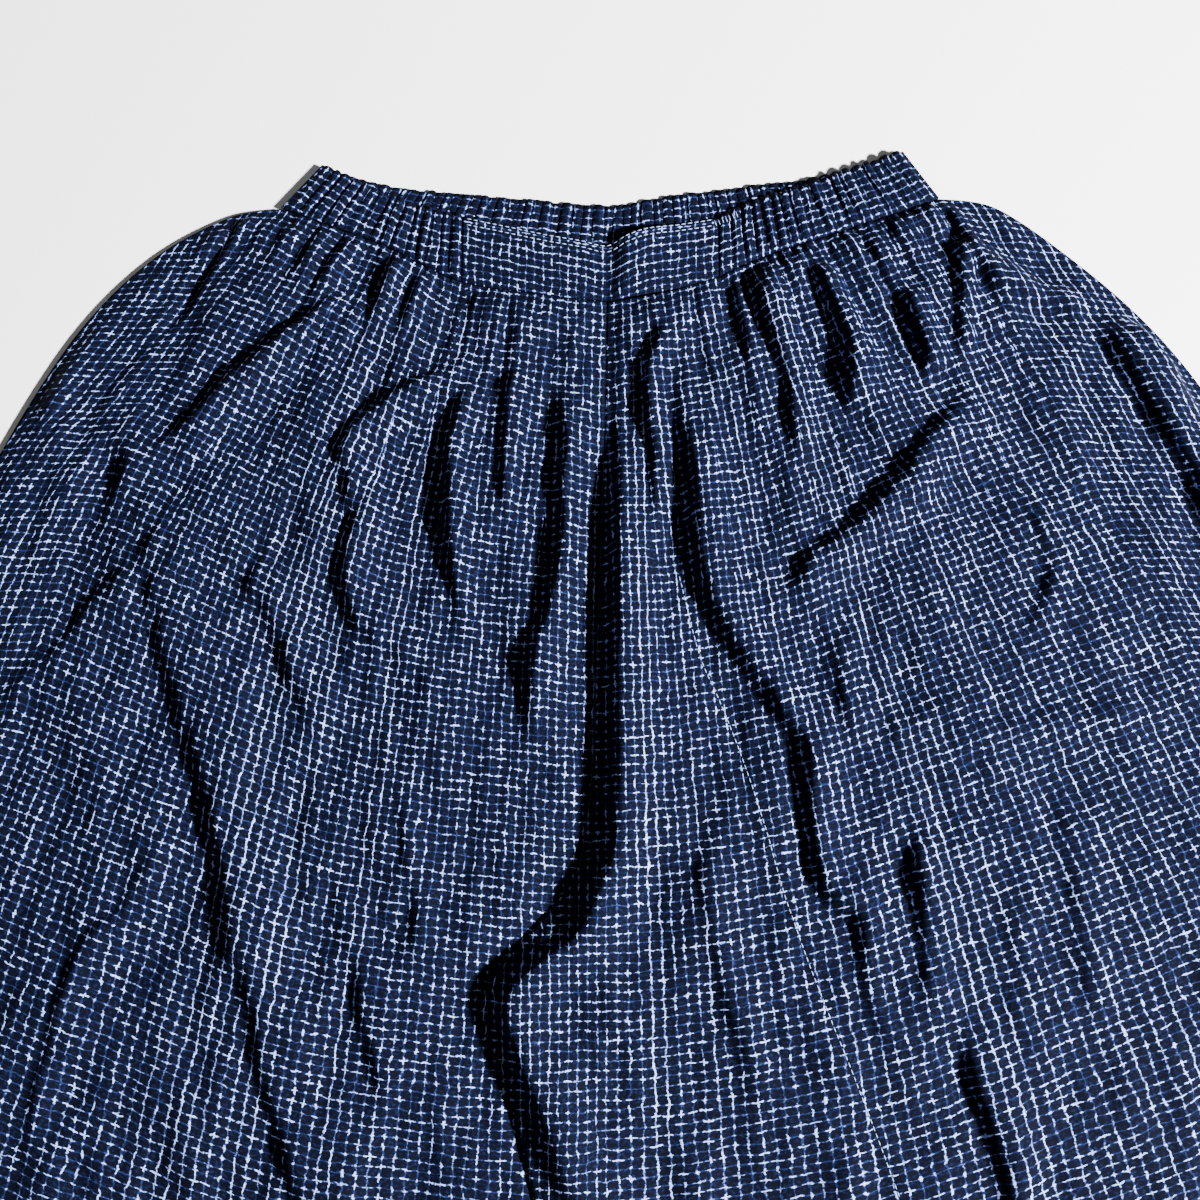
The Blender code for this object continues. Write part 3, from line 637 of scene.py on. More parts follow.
def tuck_height(threads, x, depth, tuck_depth):
    """Tucks and small gathers that start at the waist seam and die away below it."""
    side = threads.leg.side
    out = side * x
    plain = PLAIN_LEFT_X if side > 0.0 else -PLAIN_RIGHT_X
    height = np.zeros(x.shape)
    for number, tuck in enumerate(threads.leg.tucks[1:-1]):
        if tuck * threads.waist < plain:
            continue
        wave = 0.5 + 0.5 * sin(number * UNEVEN_TURN + 0.6)
        length = blend(*TUCK_LENGTHS, wave)
        width = blend(*TUCK_WIDTHS, 1.0 - wave)
        distance = x - side * threads.place(tuck, depth)
        dying = (1.0 - smooth(depth / length)) * (0.25 + 0.75 * smooth(depth / TUCK_START))
        notch = np.exp(-(distance / width) ** 2)
        crest = np.exp(-((distance - 2.2 * width) / (1.6 * width)) ** 2)
        height += tuck_depth * (0.7 + 0.6 * wave) * dying * (0.8 * crest - notch)
    elastic = smooth((out - plain) / 8.0)
    ridge_at = (out - plain) / ELASTIC_PITCH
    number = np.floor(ridge_at)
    reach = np.maximum(GATHER_REACH + GATHER_SPREAD * np.sin(number * UNEVEN_TURN), GATHER_LEAST)
    ridge = np.abs(np.sin(pi * ridge_at)) ** 0.8
    height += GATHER_RISE * elastic * (ridge - 0.4) * (1.0 - smooth(depth / reach))
    height += PUFF * np.exp(-((depth - PUFF_PEAK) / (0.7 * PUFF_PEAK)) ** 2)
    return height


# Meshes

def cloth_grid(columns, rows):
    """Flat grid of columns and rows, with the column and row number of each vertex."""
    builder = bmesh.new()
    bmesh.ops.create_grid(builder, x_segments=columns, y_segments=rows, size=1.0)
    places = np.array([vertex.co[:2] for vertex in builder.verts])
    column = np.rint((places[:, 0] + 1.0) / 2.0 * columns).astype(int)
    row = np.rint((1.0 - places[:, 1]) / 2.0 * rows).astype(int)
    return builder, column, row


def move_vertices(builder, x, y, z):
    """Put a grid's vertices at places in millimetres from the centre front of the waist seam."""
    shift_x, shift_y = plan_shift()
    for vertex, a, b, c in zip(builder.verts, x, y, z):
        vertex.co = ((a + shift_x) * MM, (b + shift_y) * MM, c * MM)


def face_towards(builder, up):
    """Turn an open sheet's faces so that they look up, or down."""
    builder.normal_update()
    total = sum(face.normal.z * face.calc_area() for face in builder.faces)
    if (total > 0.0) != up:
        bmesh.ops.reverse_faces(builder, faces=builder.faces)


def scene_object(name, builder, material):
    """Object of a finished mesh, put in the scene."""
    mesh = bpy.data.meshes.new(name)
    builder.to_mesh(mesh)
    builder.free()
    mesh.materials.append(material)
    made = bpy.data.objects.new(name, mesh)
    bpy.context.scene.collection.objects.link(made)
    return made


def finish_cloth(name, builder, wall, material):
    """Smooth-shaded object with a wall of the given thickness, grown inwards."""
    piece = scene_object(name, builder, material)
    piece.data.shade_smooth()
    shell = piece.modifiers.new("wall", "SOLIDIFY")
    shell.thickness = wall * MM
    shell.offset = -1.0
    return piece


def loop_arrays(mesh):
    """Vertex and face numbers of every face corner."""
    vertices = np.zeros(len(mesh.loops), int)
    mesh.loops.foreach_get("vertex_index", vertices)
    totals = np.zeros(len(mesh.polygons), int)
    mesh.polygons.foreach_get("loop_total", totals)
    return vertices, np.repeat(np.arange(len(totals)), totals), totals


def write_weave(mesh, across, along, cell):
    """Weave map of a mesh, counted in cells, from millimetres at every face corner."""
    layer = mesh.uv_layers.new(name="Weave")
    pairs = np.stack([across, along], axis=1) * MM / cell
    layer.data.foreach_set("uv", pairs.ravel().astype(np.float32))


def attach(piece, node, flat):
    """Tie a finished cloth to the frame in place of its solid."""
    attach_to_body(piece, "root")
    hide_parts(node)


# Materials

class Amount:
    """Number that varies over a surface, so that node maths reads as sums."""

    def __init__(self, shader, socket):
        self.shader = shader
        self.socket = socket

    def joined(self, operation, first, second=0.0):
        made = self.shader.node("ShaderNodeMath", {"operation": operation}, {0: first, 1: second})
        return Amount(self.shader, made.outputs[0])

    def __add__(self, other):
        return self.joined("ADD", self, other)

    def __sub__(self, other):
        return self.joined("SUBTRACT", self, other)

    def __rsub__(self, other):
        return self.joined("SUBTRACT", other, self)

    def __mul__(self, other):
        return self.joined("MULTIPLY", self, other)

    __radd__ = __add__
    __rmul__ = __mul__

    def larger(self, other):
        return self.joined("MAXIMUM", self, other)

    def size(self):
        return self.joined("ABSOLUTE", self)

    def whole(self):
        return self.joined("FLOOR", self)

    def part(self):
        return self.joined("FRACT", self)


class Shader:
    """Node tree of one material, with one way in for every kind of node."""

    def __init__(self, name, roughness):
        self.material = bpy.data.materials.new(name)
        self.material.use_nodes = True
        self.tree = self.material.node_tree
        self.surface = self.tree.nodes["Principled BSDF"]
        self.surface.inputs["Roughness"].default_value = roughness
        self.surface.inputs["Specular IOR Level"].default_value = SHEEN

    def node(self, kind, settings=None, inputs=None):
        made = self.tree.nodes.new(kind)
        for key, value in (settings or {}).items():
            setattr(made, key, value)
        for key, value in (inputs or {}).items():
            self.feed(made.inputs[key], value)
        return made

    def feed(self, socket, value):
        if isinstance(value, Amount):
            self.tree.links.new(value.socket, socket)
        elif isinstance(value, bpy.types.NodeSocket):
            self.tree.links.new(value, socket)
        else:
            socket.default_value = value

    def fall(self, value, start, end):
        """1 where value is under start, 0 where it is over end, smooth between."""
        made = self.node("ShaderNodeMapRange", {"interpolation_type": "SMOOTHSTEP"}, {
            "Value": value, "From Min": start, "From Max": end, "To Min": 1.0, "To Max": 0.0})
        return Amount(self, made.outputs["Result"])

    def parts(self, colour):
        made = self.node("ShaderNodeSeparateColor", inputs={"Color": colour})
        return [Amount(self, socket) for socket in made.outputs]

    def chance(self, first, second, seed):
        """Three random amounts for each pair of whole numbers."""
        place = self.node("ShaderNodeCombineXYZ", inputs={"X": first, "Y": second, "Z": seed})
        made = self.node("ShaderNodeTexWhiteNoise", {"noise_dimensions": "3D"},
                         {"Vector": place.outputs[0]})
        return self.parts(made.outputs["Color"])

    def cloud(self, vector, scale, detail):
        """Smooth noise: its amount and its colour."""
        made = self.node("ShaderNodeTexNoise", {"noise_dimensions": "3D"},
                         {"Vector": vector, "Scale": scale, "Detail": detail})
        return Amount(self, made.outputs["Fac"]), made.outputs["Color"]


def woven_cloth(name, colours, strength=1.0):
    """Dark indigo cloth with an uneven grid of pale dashes that cross in small pluses."""
    shader = Shader(name, 0.88)
    weave = shader.node("ShaderNodeUVMap", {"uv_map": "Weave"}).outputs["UV"]
    place = shader.node("ShaderNodeTexCoord").outputs["Object"]
    wander = shader.parts(shader.cloud(weave, 0.45, 2.0)[1])
    quiver = shader.parts(shader.cloud(weave, 2.3, 1.0)[1])
    split = shader.node("ShaderNodeSeparateXYZ", inputs={"Vector": weave})
    across = Amount(shader, split.outputs["X"]) + (wander[0] - 0.5) * 0.7 + (quiver[0] - 0.5) * 0.3
    along = Amount(shader, split.outputs["Y"]) + (wander[1] - 0.5) * 0.7 + (quiver[1] - 0.5) * 0.3
    column = across.whole()
    row = along.whole()
    beside = (across.part() - 0.5).size()
    beyond = (along.part() - 0.5).size()
    first = shader.chance(column, row, 3.0)
    second = shader.chance(column, row, 11.0)
    thread = shader.chance(column, 5.0, 7.0)
    strong = 1.0 - shader.fall(thread[0], 0.66, 0.92)
    slub = shader.cloud(weave, 1.7, 2.0)[0]
    fibre = shader.cloud(weave, 8.0, 3.0)[0]
    width = (slub + fibre) * 0.055 - 0.012
    warp_arm = 0.12 + first[0] * 0.34 + strong * 0.12
    weft_arm = 0.12 + first[1] * 0.36
    warp_dash = shader.fall(beyond, warp_arm - 0.10, warp_arm + 0.12)
    weft_dash = shader.fall(beside, weft_arm - 0.10, weft_arm + 0.12)
    warp = shader.fall(beside, width - 0.03, width + 0.07) * (
        0.16 + strong * 0.12 + warp_dash * (0.07 + first[2] * first[2] * 0.72))
    weft = shader.fall(beyond, width - 0.03, width + 0.07) * (
        0.15 + weft_dash * (0.07 + second[0] * second[0] * 0.72))
    knot = shader.fall(beside, 0.03, 0.17) * shader.fall(beyond, 0.03, 0.17)
    pale = warp.larger(weft).larger(knot * (0.1 + second[1] * 0.9))
    pale = pale * (0.08 + fibre * 2.05) * strength
    fuzz = shader.cloud(weave, 3.1, 4.0)[0]
    pale = pale + (fuzz - 0.47) * 0.46
    ramp = shader.node("ShaderNodeValToRGB", inputs={"Fac": pale})
    stops = ramp.color_ramp.elements
    stops[0].position = 0.02
    stops[0].color = (*colours.ground, 1.0)
    stops[1].position = 0.82
    stops[1].color = (*colours.thread, 1.0)
    middle = stops.new(0.30)
    middle.color = (*colours.halo, 1.0)
    shader.feed(shader.surface.inputs["Base Color"], ramp.outputs["Color"])
    crinkle = shader.cloud(place, 260.0, 3.0)[0]
    drawn_out = shader.node("ShaderNodeMapping", inputs={"Vector": weave, "Scale": (0.55, 0.13, 1.0)})
    wrinkle = shader.cloud(drawn_out.outputs[0], 1.0, 2.0)[0]
    height = pale * 0.3 + crinkle * 0.6 + wrinkle * 2.4
    bump = shader.node("ShaderNodeBump", inputs={
        "Height": height, "Strength": 0.55, "Distance": 0.0009})
    shader.feed(shader.surface.inputs["Normal"], bump.outputs["Normal"])
    return shader.material


def mottled(name, roughness, scale, colour, dimmest):
    """Plain finish that dims here and there to the given share of its colour."""
    shader = Shader(name, roughness)
    place = shader.node("ShaderNodeTexCoord").outputs["Object"]
    ramp = shader.node("ShaderNodeValToRGB", inputs={"Fac": shader.cloud(place, scale, 2.0)[0]})
    ramp.color_ramp.elements[0].color = (*[dimmest * part for part in colour], 1.0)
    ramp.color_ramp.elements[1].color = (*colour, 1.0)
    shader.feed(shader.surface.inputs["Base Color"], ramp.outputs["Color"])
    return shader.material


def cloth_material(name, strength=1.0):
    """The named cloth, made once."""
    found = bpy.data.materials.get(name)
    return found or woven_cloth(name, bpy.context.scene.pants_colours, strength)


# Panels

def front_rows():
    """Row positions, in sections, finer over the upper leg."""
    upper = np.linspace(0.0, SEEN_SECTIONS, PANEL_ROWS_SEEN + 1)
    lower = np.linspace(SEEN_SECTIONS, len(RIGHT_SECTIONS) - 1, PANEL_ROWS_LOWER + 1)
    return np.concatenate((upper, lower[1:]))


def front_height(leg, threads, u, v, x, y, span, tuck_depth):
    """Height of the outer face of a front panel."""
    to_ankle = len(leg.sections) - 1 - v
    inner_ease = smooth(u * span / leg.inner_rim)
    outer_ease = smooth((1.0 - u) * span / OUTER_RIM)
    waist_share = 1.0 - smooth(v / WAIST_REACH)
    ankle_share = 1.0 - smooth(to_ankle / ANKLE_REACH)
    lift = LOFT * (1.0 - waist_share - ankle_share) * inner_ease
    lift += (BAND_FRONT_Z - RIM_Z + waist_rise(x) - BAND_STEP) * waist_share
    lift += (CUFF_FRONT_Z - RIM_Z) * ankle_share
    ends = smooth(v / WAIST_CALM) * smooth(to_ankle / ANKLE_CALM)
    lift += fold_height(leg.folds, x, y) * ends * smooth(u * span / FOLD_RIM)
    inner = smooth(u * span / WAVE_RIM)
    lift += WAVE_FOLD * rough(x * 1.6, y * 0.7, WAVE_FOLD_SIZE, 1.7) * ends * inner
    share = threads.share(leg.side * x, y)
    depth = threads.depth(share, y)
    wide = np.interp(share, threads.shares, threads.widths)
    lift += WAVE_CRINKLE * rough(wide, depth * 0.28, CRINKLE_SIZE, 5.1) * ends * inner
    lift += 0.5 * WAVE_CRINKLE * rough(wide, depth * 0.8, CRINKLE_SIZE, 8.4) * ends * inner
    puffed = 1.0 - PUFF_FADE * smooth(depth / PUFF_DEPTH)
    lift += WAVE_PUFF * puffed * rough(wide, depth * 0.35, PUFF_SIZE, 6.6) * ends * inner
    tucks = tuck_height(threads, x, depth, tuck_depth)
    lift += tucks * inner_ease * smooth(to_ankle / 4.0)
    out = u * span
    ankle_wave = np.abs(np.sin(pi * out / CUFF_PITCH)) ** 0.8 - 0.4
    lift += ANKLE_RISE * ankle_wave * (1.0 - smooth(to_ankle / 3.0)) * inner_ease
    rolled = np.minimum(lap_width(leg, v) / LAP_ROLL, 1.0)
    lift += LAP_RISE * rolled * np.sqrt(1.0 - smooth(out / LAP_REACH))
    z = np.maximum(RIM_Z + CLOTH_WALL + lift * outer_ease, LOWEST_FRONT)
    return np.where(z > FULL_HEIGHT, FULL_HEIGHT + HEADROOM * np.tanh((z - FULL_HEIGHT) / HEADROOM), z)


def front_panel(leg, name):
    """One front panel, gathered into the waist seam, with its weave along its own threads."""
    sizes = bpy.context.scene.pants_sizes
    rows = front_rows()
    builder, column, row = cloth_grid(PANEL_COLUMNS, len(rows) - 1)
    u = column / PANEL_COLUMNS
    v = rows[row]
    x, y, span = leg_plan(leg, u, v)
    x = x - leg.side * lap_width(leg, v) * (1.0 - smooth(u * span / LAP_REACH))
    threads = Threads(leg)
    z = front_height(leg, threads, u, v, x, y, span, sizes.tuck_depth / MM)
    in_x, in_y = inset(leg, x, y, u, v)
    move_vertices(builder, in_x, in_y, z)
    face_towards(builder, True)
    piece = finish_cloth(name, builder, SHELL, cloth_material("indigo_panel_cloth"))
    corners, faces, totals = loop_arrays(piece.data)
    out = leg.side * x
    share = threads.share(out, y)
    face_share = np.add.reduceat(share[corners], np.concatenate(([0], np.cumsum(totals)[:-1])))
    face_share = face_share / totals
    tucks = np.array(leg.tucks)
    strip = np.clip(np.searchsorted(tucks, face_share) - 1, 0, len(tucks) - 2)
    centre = (0.5 * (tucks[strip] + tucks[strip + 1]))[faces]
    across = threads.across(out[corners], y[corners], share[corners], centre)
    along = threads.along(share, y)[corners]
    write_weave(piece.data, leg.side * across, along, sizes.cell)
    return piece


def back_panel(leg, name):
    """One back panel, lying in its own small creases under the front."""
    sizes = bpy.context.scene.pants_sizes
    last = len(leg.sections) - 1
    builder, column, row = cloth_grid(BACK_COLUMNS, BACK_ROWS)
    u = column / BACK_COLUMNS
    v = last * row / BACK_ROWS
    x, y, span = leg_plan(leg, u, v)
    rise = edge_y(BACK_SEAM, x) - edge_y(FRONT_SEAM, x)
    rise = np.where(np.abs(x) < abs(leg.sections[0].outer_x), rise, 0.0)
    y = y + np.maximum(rise, 0.0) * (1.0 - smooth(v / 1.5))
    x, y = inset(leg, x, y, u, v)
    edge = smooth(u * span / CREASE_RIM) * smooth((1.0 - u) * span / CREASE_RIM)
    ends = smooth(v / CREASE_CALM) * smooth((last - v) / CREASE_CALM)
    crease = np.maximum(rough(x * 1.8, y * 0.6, CREASE_SIZE, 9.3), 0.0)
    move_vertices(builder, x, y, WAVE_BACK * crease * edge * ends)
    face_towards(builder, False)
    piece = finish_cloth(name, builder, SHELL, cloth_material("indigo_panel_cloth"))
    corners = loop_arrays(piece.data)[0]
    write_weave(piece.data, x[corners], -y[corners], sizes.cell)
    return piece


# Bands and cuffs

def ridge_columns(start_x, end_x, pitch, seed):
    """X of fine columns over uneven gathers, each column's place in its gather and its height."""
    count = max(3, round(abs(end_x - start_x) / pitch))
    draw = np.random.default_rng(seed)
    widths = 1.0 + 0.28 * draw.uniform(-1.0, 1.0, count)
    bounds = np.concatenate(([0.0], np.cumsum(widths))) / widths.sum()
    heights = 0.66 + 0.34 * draw.uniform(-1.0, 1.0, count)
    shares = []
    waves = []
    for number in range(count):
        for step in range(RIDGE_COLUMNS):
            part = step / RIDGE_COLUMNS
            shares.append(blend(bounds[number], bounds[number + 1], part))
            waves.append(heights[number] * sin(pi * part) ** RIDGE_ROUND)
    shares.append(1.0)
    waves.append(0.0)
    return blend(start_x, end_x, np.array(shares)), np.array(waves)


def band_run(top, seam, start_x, end_x, pitch, seed, base, ridge, top_ends):
    """Stations of one run of the band: top and seam places, height and height of the gathers.

    The run goes from start_x to end_x on the seam, and between the top_ends on the upper edge."""
    xs, waves = ridge_columns(start_x, end_x, pitch, seed)
    share = (xs - start_x) / (end_x - start_x)
    top_x = blend(*top_ends, share)
    stations = []
    for a, b, wave in zip(top_x, xs, waves):
        stations.append((a, float(edge_y(top, a)), b, float(edge_y(seam, b)), base, ridge * wave))
    return stations


def turn_stations(station, way, high, direction):
    """Stations round a folded side, from the front run to the back run or the other way."""
    top_x, top_y, low_x, low_y = station[:4]
    radius = 0.5 * high
    angles = np.linspace(0.5 * pi, -0.5 * pi, TURN_STEPS + 2)[1:-1]
    made = [(top_x + way[0] * radius * cos(a), top_y + way[1] * radius * cos(a),
             low_x + way[0] * radius * cos(a), low_y + way[1] * radius * cos(a),
             radius + radius * sin(a), 0.0) for a in angles]
    return made[::direction]


def square_to(station, outward):
    """Unit direction square to a station's line, towards the given side in x."""
    top_x, top_y, low_x, low_y = station[:4]
    length = hypot(low_x - top_x, low_y - top_y)
    across_x = (top_y - low_y) / length
    across_y = (low_x - top_x) / length
    way = outward if across_x > 0.0 else -outward
    return way * across_x, way * across_y


def strip_cloth(stations):
    """Gathered strip through stations, its rows running from the top edge to the seam."""
    table = np.array(stations, float)
    builder, column, row = cloth_grid(len(table) - 1, BAND_ROWS)
    part = row / BAND_ROWS
    top_x, top_y, low_x, low_y, base, ridge = table[column].T
    edge = np.sqrt(np.clip(np.minimum(part, 1.0 - part) * BAND_ROWS / 1.5, 0.0, 1.0))
    sway = 0.7 * np.sin(part * 4.0 + column * 0.31)
    x = blend(top_x, low_x, part)
    y = blend(top_y, low_y, part) + np.where(part < 0.5, 0.7 * ridge * (1.0 - edge), 0.0)
    z = base + ridge * (0.72 + 0.28 * np.sin(pi * part)) * (0.45 + 0.55 * edge)
    inside = (column > 0) & (column < len(table) - 1)
    x = np.where(inside & (ridge > 0.0), x + sway * edge * 0.5, x)
    move_vertices(builder, x, y, z)
    middle = table[:, :2] * 0.5 + table[:, 2:4] * 0.5
    steps = np.diff(np.column_stack((middle, table[:, 4] + table[:, 5])), axis=0)
    lengths = np.concatenate(([0.0], np.cumsum(np.sqrt((steps ** 2).sum(axis=1)))))
    width = np.hypot(top_x - low_x, top_y - low_y)
    return builder, lengths, column, part * width


def gathered_strip(name, stations, wall, front_z):
    """Finished strip, its faces above front_z looking up, and its length along the gathers."""
    material = cloth_material("indigo_band_cloth", BAND_STRENGTH)
    builder, lengths, column, along = strip_cloth(stations)
    builder.normal_update()
    front = [face for face in builder.faces
             if all(vertex.co.z > front_z * MM for vertex in face.verts)]
    if sum(face.normal.z for face in front) < 0.0:
        bmesh.ops.reverse_faces(builder, faces=builder.faces)
    piece = finish_cloth(name, builder, wall, material)
    corners = loop_arrays(piece.data)[0]
    cell = bpy.context.scene.pants_sizes.cell
    write_weave(piece.data, along[corners], lengths[column][corners], cell)
    return piece, lengths[-1]


def elastic_stations(sizes):
    """Stations of the elastic band from the right join round the back to the left join."""
    turn = 0.5 * (BAND_FRONT_Z + BAND_WALL)
    high = BAND_FRONT_Z + BAND_WALL
    right_top, right_seam = BACK_TOP[0][0] + turn, BACK_SEAM[0][0] + turn
    left_top, left_seam = BACK_TOP[-1][0] - turn, BACK_SEAM[-1][0] - turn
    right_join = PLAIN_RIGHT_X - SEAM_GAP
    left_join = PLAIN_LEFT_X + SEAM_GAP
    front = sizes.band_ridge / MM
    back = sizes.back_ridge / MM
    right = band_run(FRONT_TOP, FRONT_SEAM, right_join, right_seam, ELASTIC_PITCH, 21, high, front,
                     (right_join, right_top))
    behind = band_run(BACK_TOP, BACK_SEAM, right_seam, left_seam, BACK_PITCH, 22, 0.0, back,
                      (right_top, left_top))
    left = band_run(FRONT_TOP, FRONT_SEAM, left_seam, left_join, ELASTIC_PITCH, 23, high, front,
                    (left_top, left_join))
    right_turn = turn_stations(right[-1], square_to(right[-1], -1.0), high, 1)
    left_turn = turn_stations(left[0], square_to(left[0], 1.0), high, -1)
    return right + right_turn + behind + left_turn + left


def waistband_elastic():
    """Gathered band: its outer face looks up on the front and rests on the surface at the back."""
    stations = elastic_stations(bpy.context.scene.pants_sizes)
    return gathered_strip("waistband_elastic_cloth", stations, BAND_WALL, BAND_FRONT_Z + 0.5)


def waistband_plain():
    """Plain stretch of band at the centre front, folded in over the centre seam."""
    sizes = bpy.context.scene.pants_sizes
    builder, column, row = cloth_grid(PLAIN_COLUMNS, PLAIN_ROWS)
    x = blend(PLAIN_RIGHT_X, PLAIN_LEFT_X, column / PLAIN_COLUMNS)
    part = row / PLAIN_ROWS
    top = edge_y(FRONT_TOP, x)
    seam = edge_y(FRONT_SEAM, x)
    y = blend(top, seam, part)
    rounded = np.sqrt(np.clip(part * PLAIN_ROWS / 2.0, 0.0, 1.0))
    distance, _ = path_distance(x, y, BAND_FOLD.path)
    reach = np.where(distance > 0.0, BAND_FOLD.gentle, BAND_FOLD.steep)
    crest = 0.5 * (1.0 + np.cos(pi * np.clip(np.abs(distance) / reach, 0.0, 1.0)))
    z = BAND_FRONT_Z + BAND_WALL + waist_rise(x) - 0.8 * (1.0 - rounded)
    z = z + BAND_FOLD.height * crest * (1.0 - 0.6 * part)
    z = z + 0.35 * rough(x, y * 1.4, 14.0, 3.3) * smooth(part * 4.0)
    move_vertices(builder, x, y, z)
    face_towards(builder, True)
    material = cloth_material("indigo_band_cloth", BAND_STRENGTH)
    piece = finish_cloth("waistband_plain_cloth", builder, BAND_WALL, material)
    corners = loop_arrays(piece.data)[0]
    write_weave(piece.data, (top - y)[corners], x[corners], sizes.cell)
    return piece


def cuff_run(ankle, along, down, start, end, base, ridge, seed):
    """Stations of one run of a cuff, from start to end along the leg's lower edge."""
    spots, waves = ridge_columns(start, end, CUFF_PITCH, seed)
    gap = 0.5 * SEAM_GAP
    stations = []
    for spot, wave in zip(spots, waves):
        top_x = ankle.inner_x + along[0] * spot + down[0] * gap
        top_y = ankle.inner_y + along[1] * spot + down[1] * gap
        stations.append((top_x, top_y, top_x + down[0] * CUFF_LENGTH, top_y + down[1] * CUFF_LENGTH,
                         base, ridge * wave))
    return stations


def ankle_cuff(leg, name, seed):
    """Gathered cuff: a flattened tube that takes up the leg's lower edge."""
    ankle = leg.sections[-1]
    width = hypot(ankle.outer_x - ankle.inner_x, ankle.outer_y - ankle.inner_y)
    along = ((ankle.outer_x - ankle.inner_x) / width, (ankle.outer_y - ankle.inner_y) / width)
    side = 1.0 if ankle.outer_x > ankle.inner_x else -1.0
    down = (side * along[1], -side * along[0])
    high = CUFF_FRONT_Z + CLOTH_WALL
    turn = 0.5 * high
    ridge = bpy.context.scene.pants_sizes.cuff_ridge / MM
    front = cuff_run(ankle, along, down, turn, width - turn, high, ridge, seed)
    behind = cuff_run(ankle, along, down, width - turn, turn, 0.0, 0.4 * ridge, seed + 1)
    inward = (-along[0], -along[1])
    stations = front + turn_stations(front[-1], along, high, 1)
    stations += behind + turn_stations(front[0], inward, high, -1)
    return gathered_strip(name, stations, CLOTH_WALL, CUFF_FRONT_Z)


# Sewing

def surface_trees(names):
    """Search trees of finished cloths, for laying stitches on them."""
    view = bpy.context.evaluated_depsgraph_get()
    return [BVHTree.FromObject(bpy.data.objects[name], view) for name in names]


def surface_height(trees, x, y):
    """Height of the highest cloth over a point, in metres, or None."""
    found = [tree.ray_cast(Vector((x, y, ABOVE_ALL)), Vector((0.0, 0.0, -1.0)))[0]
             for tree in trees]
    heights = [hit.z for hit in found if hit is not None]
    return max(heights) if heights else None


def add_stitch(builder, start, end, trees):
    """One short stitch lying on the cloth, between two places in millimetres."""
    shift_x, shift_y = plan_shift()
    ends = []
    for x, y in (start, end):
        x, y = (x + shift_x) * MM, (y + shift_y) * MM
        height = surface_height(trees, x, y)
        if height is None:
            return
        ends.append(Vector((x, y, height + 0.5 * STITCH_RADIUS * MM)))
    run = ends[1] - ends[0]
    turn = Vector((1.0, 0.0, 0.0)).rotation_difference(run).to_matrix().to_4x4()
    size = Matrix.Diagonal((0.5 * run.length, STITCH_RADIUS * MM, STITCH_RADIUS * MM, 1.0))
    bmesh.ops.create_icosphere(
        builder, subdivisions=1, radius=1.0,
        matrix=Matrix.Translation(0.5 * (ends[0] + ends[1])) @ turn @ size)


def stitch_row(builder, path, trees, length=STITCH_LENGTH):
    """Stitches along a smooth path."""
    fine = curve_at(path, np.linspace(0.0, len(path) - 1, 40 * len(path)))
    walked = np.concatenate(([0.0], np.cumsum(np.hypot(*np.diff(fine, axis=0).T))))
    place = 0.0
    while place + length < walked[-1]:
        ends = [(np.interp(at, walked, fine[:, 0]), np.interp(at, walked, fine[:, 1]))
                for at in (place, place + length)]
        add_stitch(builder, *ends, trees)
        place += length + STITCH_GAP


def stitches(name, builder):
    """Finished object of a group of stitches."""
    thread = bpy.context.scene.pants_colours.sewing
    material = (bpy.data.materials.get("sewing_thread")
                or mottled("sewing_thread", 0.7, 900.0, thread, 0.5))
    piece = scene_object(name, builder, material)
    piece.data.shade_smooth()
    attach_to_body(piece, "root")
    return piece


# Operators

class PANTS_OT_back_panels(bpy.types.Operator):
    """Make the two back panels that lie on the surface"""

    bl_idname = "pants.back_panels"
    bl_label = "Back Panels"

    def execute(self, context):
        for leg, side in ((RIGHT_LEG, "right"), (LEFT_LEG, "left")):
            piece = back_panel(leg, f"back_{side}_cloth")
            attach(piece, f"back_panel_{side}", (0.42, 0.87))
        return {"FINISHED"}


class PANTS_OT_front_panels(bpy.types.Operator):
    """Make the two gathered front panels"""

    bl_idname = "pants.front_panels"
    bl_label = "Front Panels"

    def execute(self, context):
        for leg, side in ((RIGHT_LEG, "right"), (LEFT_LEG, "left")):
            piece = front_panel(leg, f"front_{side}_cloth")
            attach(piece, f"front_panel_{side}", (0.44, 0.87))
        return {"FINISHED"}


class PANTS_OT_waistband(bpy.types.Operator):
    """Make the elastic band and its plain stretch at the front"""

    bl_idname = "pants.waistband"
    bl_label = "Waistband"

    def execute(self, context):
        elastic, length = waistband_elastic()
        attach(elastic, "waistband_elastic", (length * MM, 0.038))
        plain = waistband_plain()
        attach(plain, "waistband_front", (0.148, 0.036))
        return {"FINISHED"}


class PANTS_OT_cuffs(bpy.types.Operator):
    """Make the two gathered ankle cuffs"""

    bl_idname = "pants.cuffs"
    bl_label = "Ankle Cuffs"

    def execute(self, context):
        for leg, side, seed in ((RIGHT_LEG, "right", 31), (LEFT_LEG, "left", 41)):
            piece, length = ankle_cuff(leg, f"cuff_{side}_cloth", seed)
            attach(piece, f"ankle_cuff_{side}", (length * MM, 0.036))
        return {"FINISHED"}


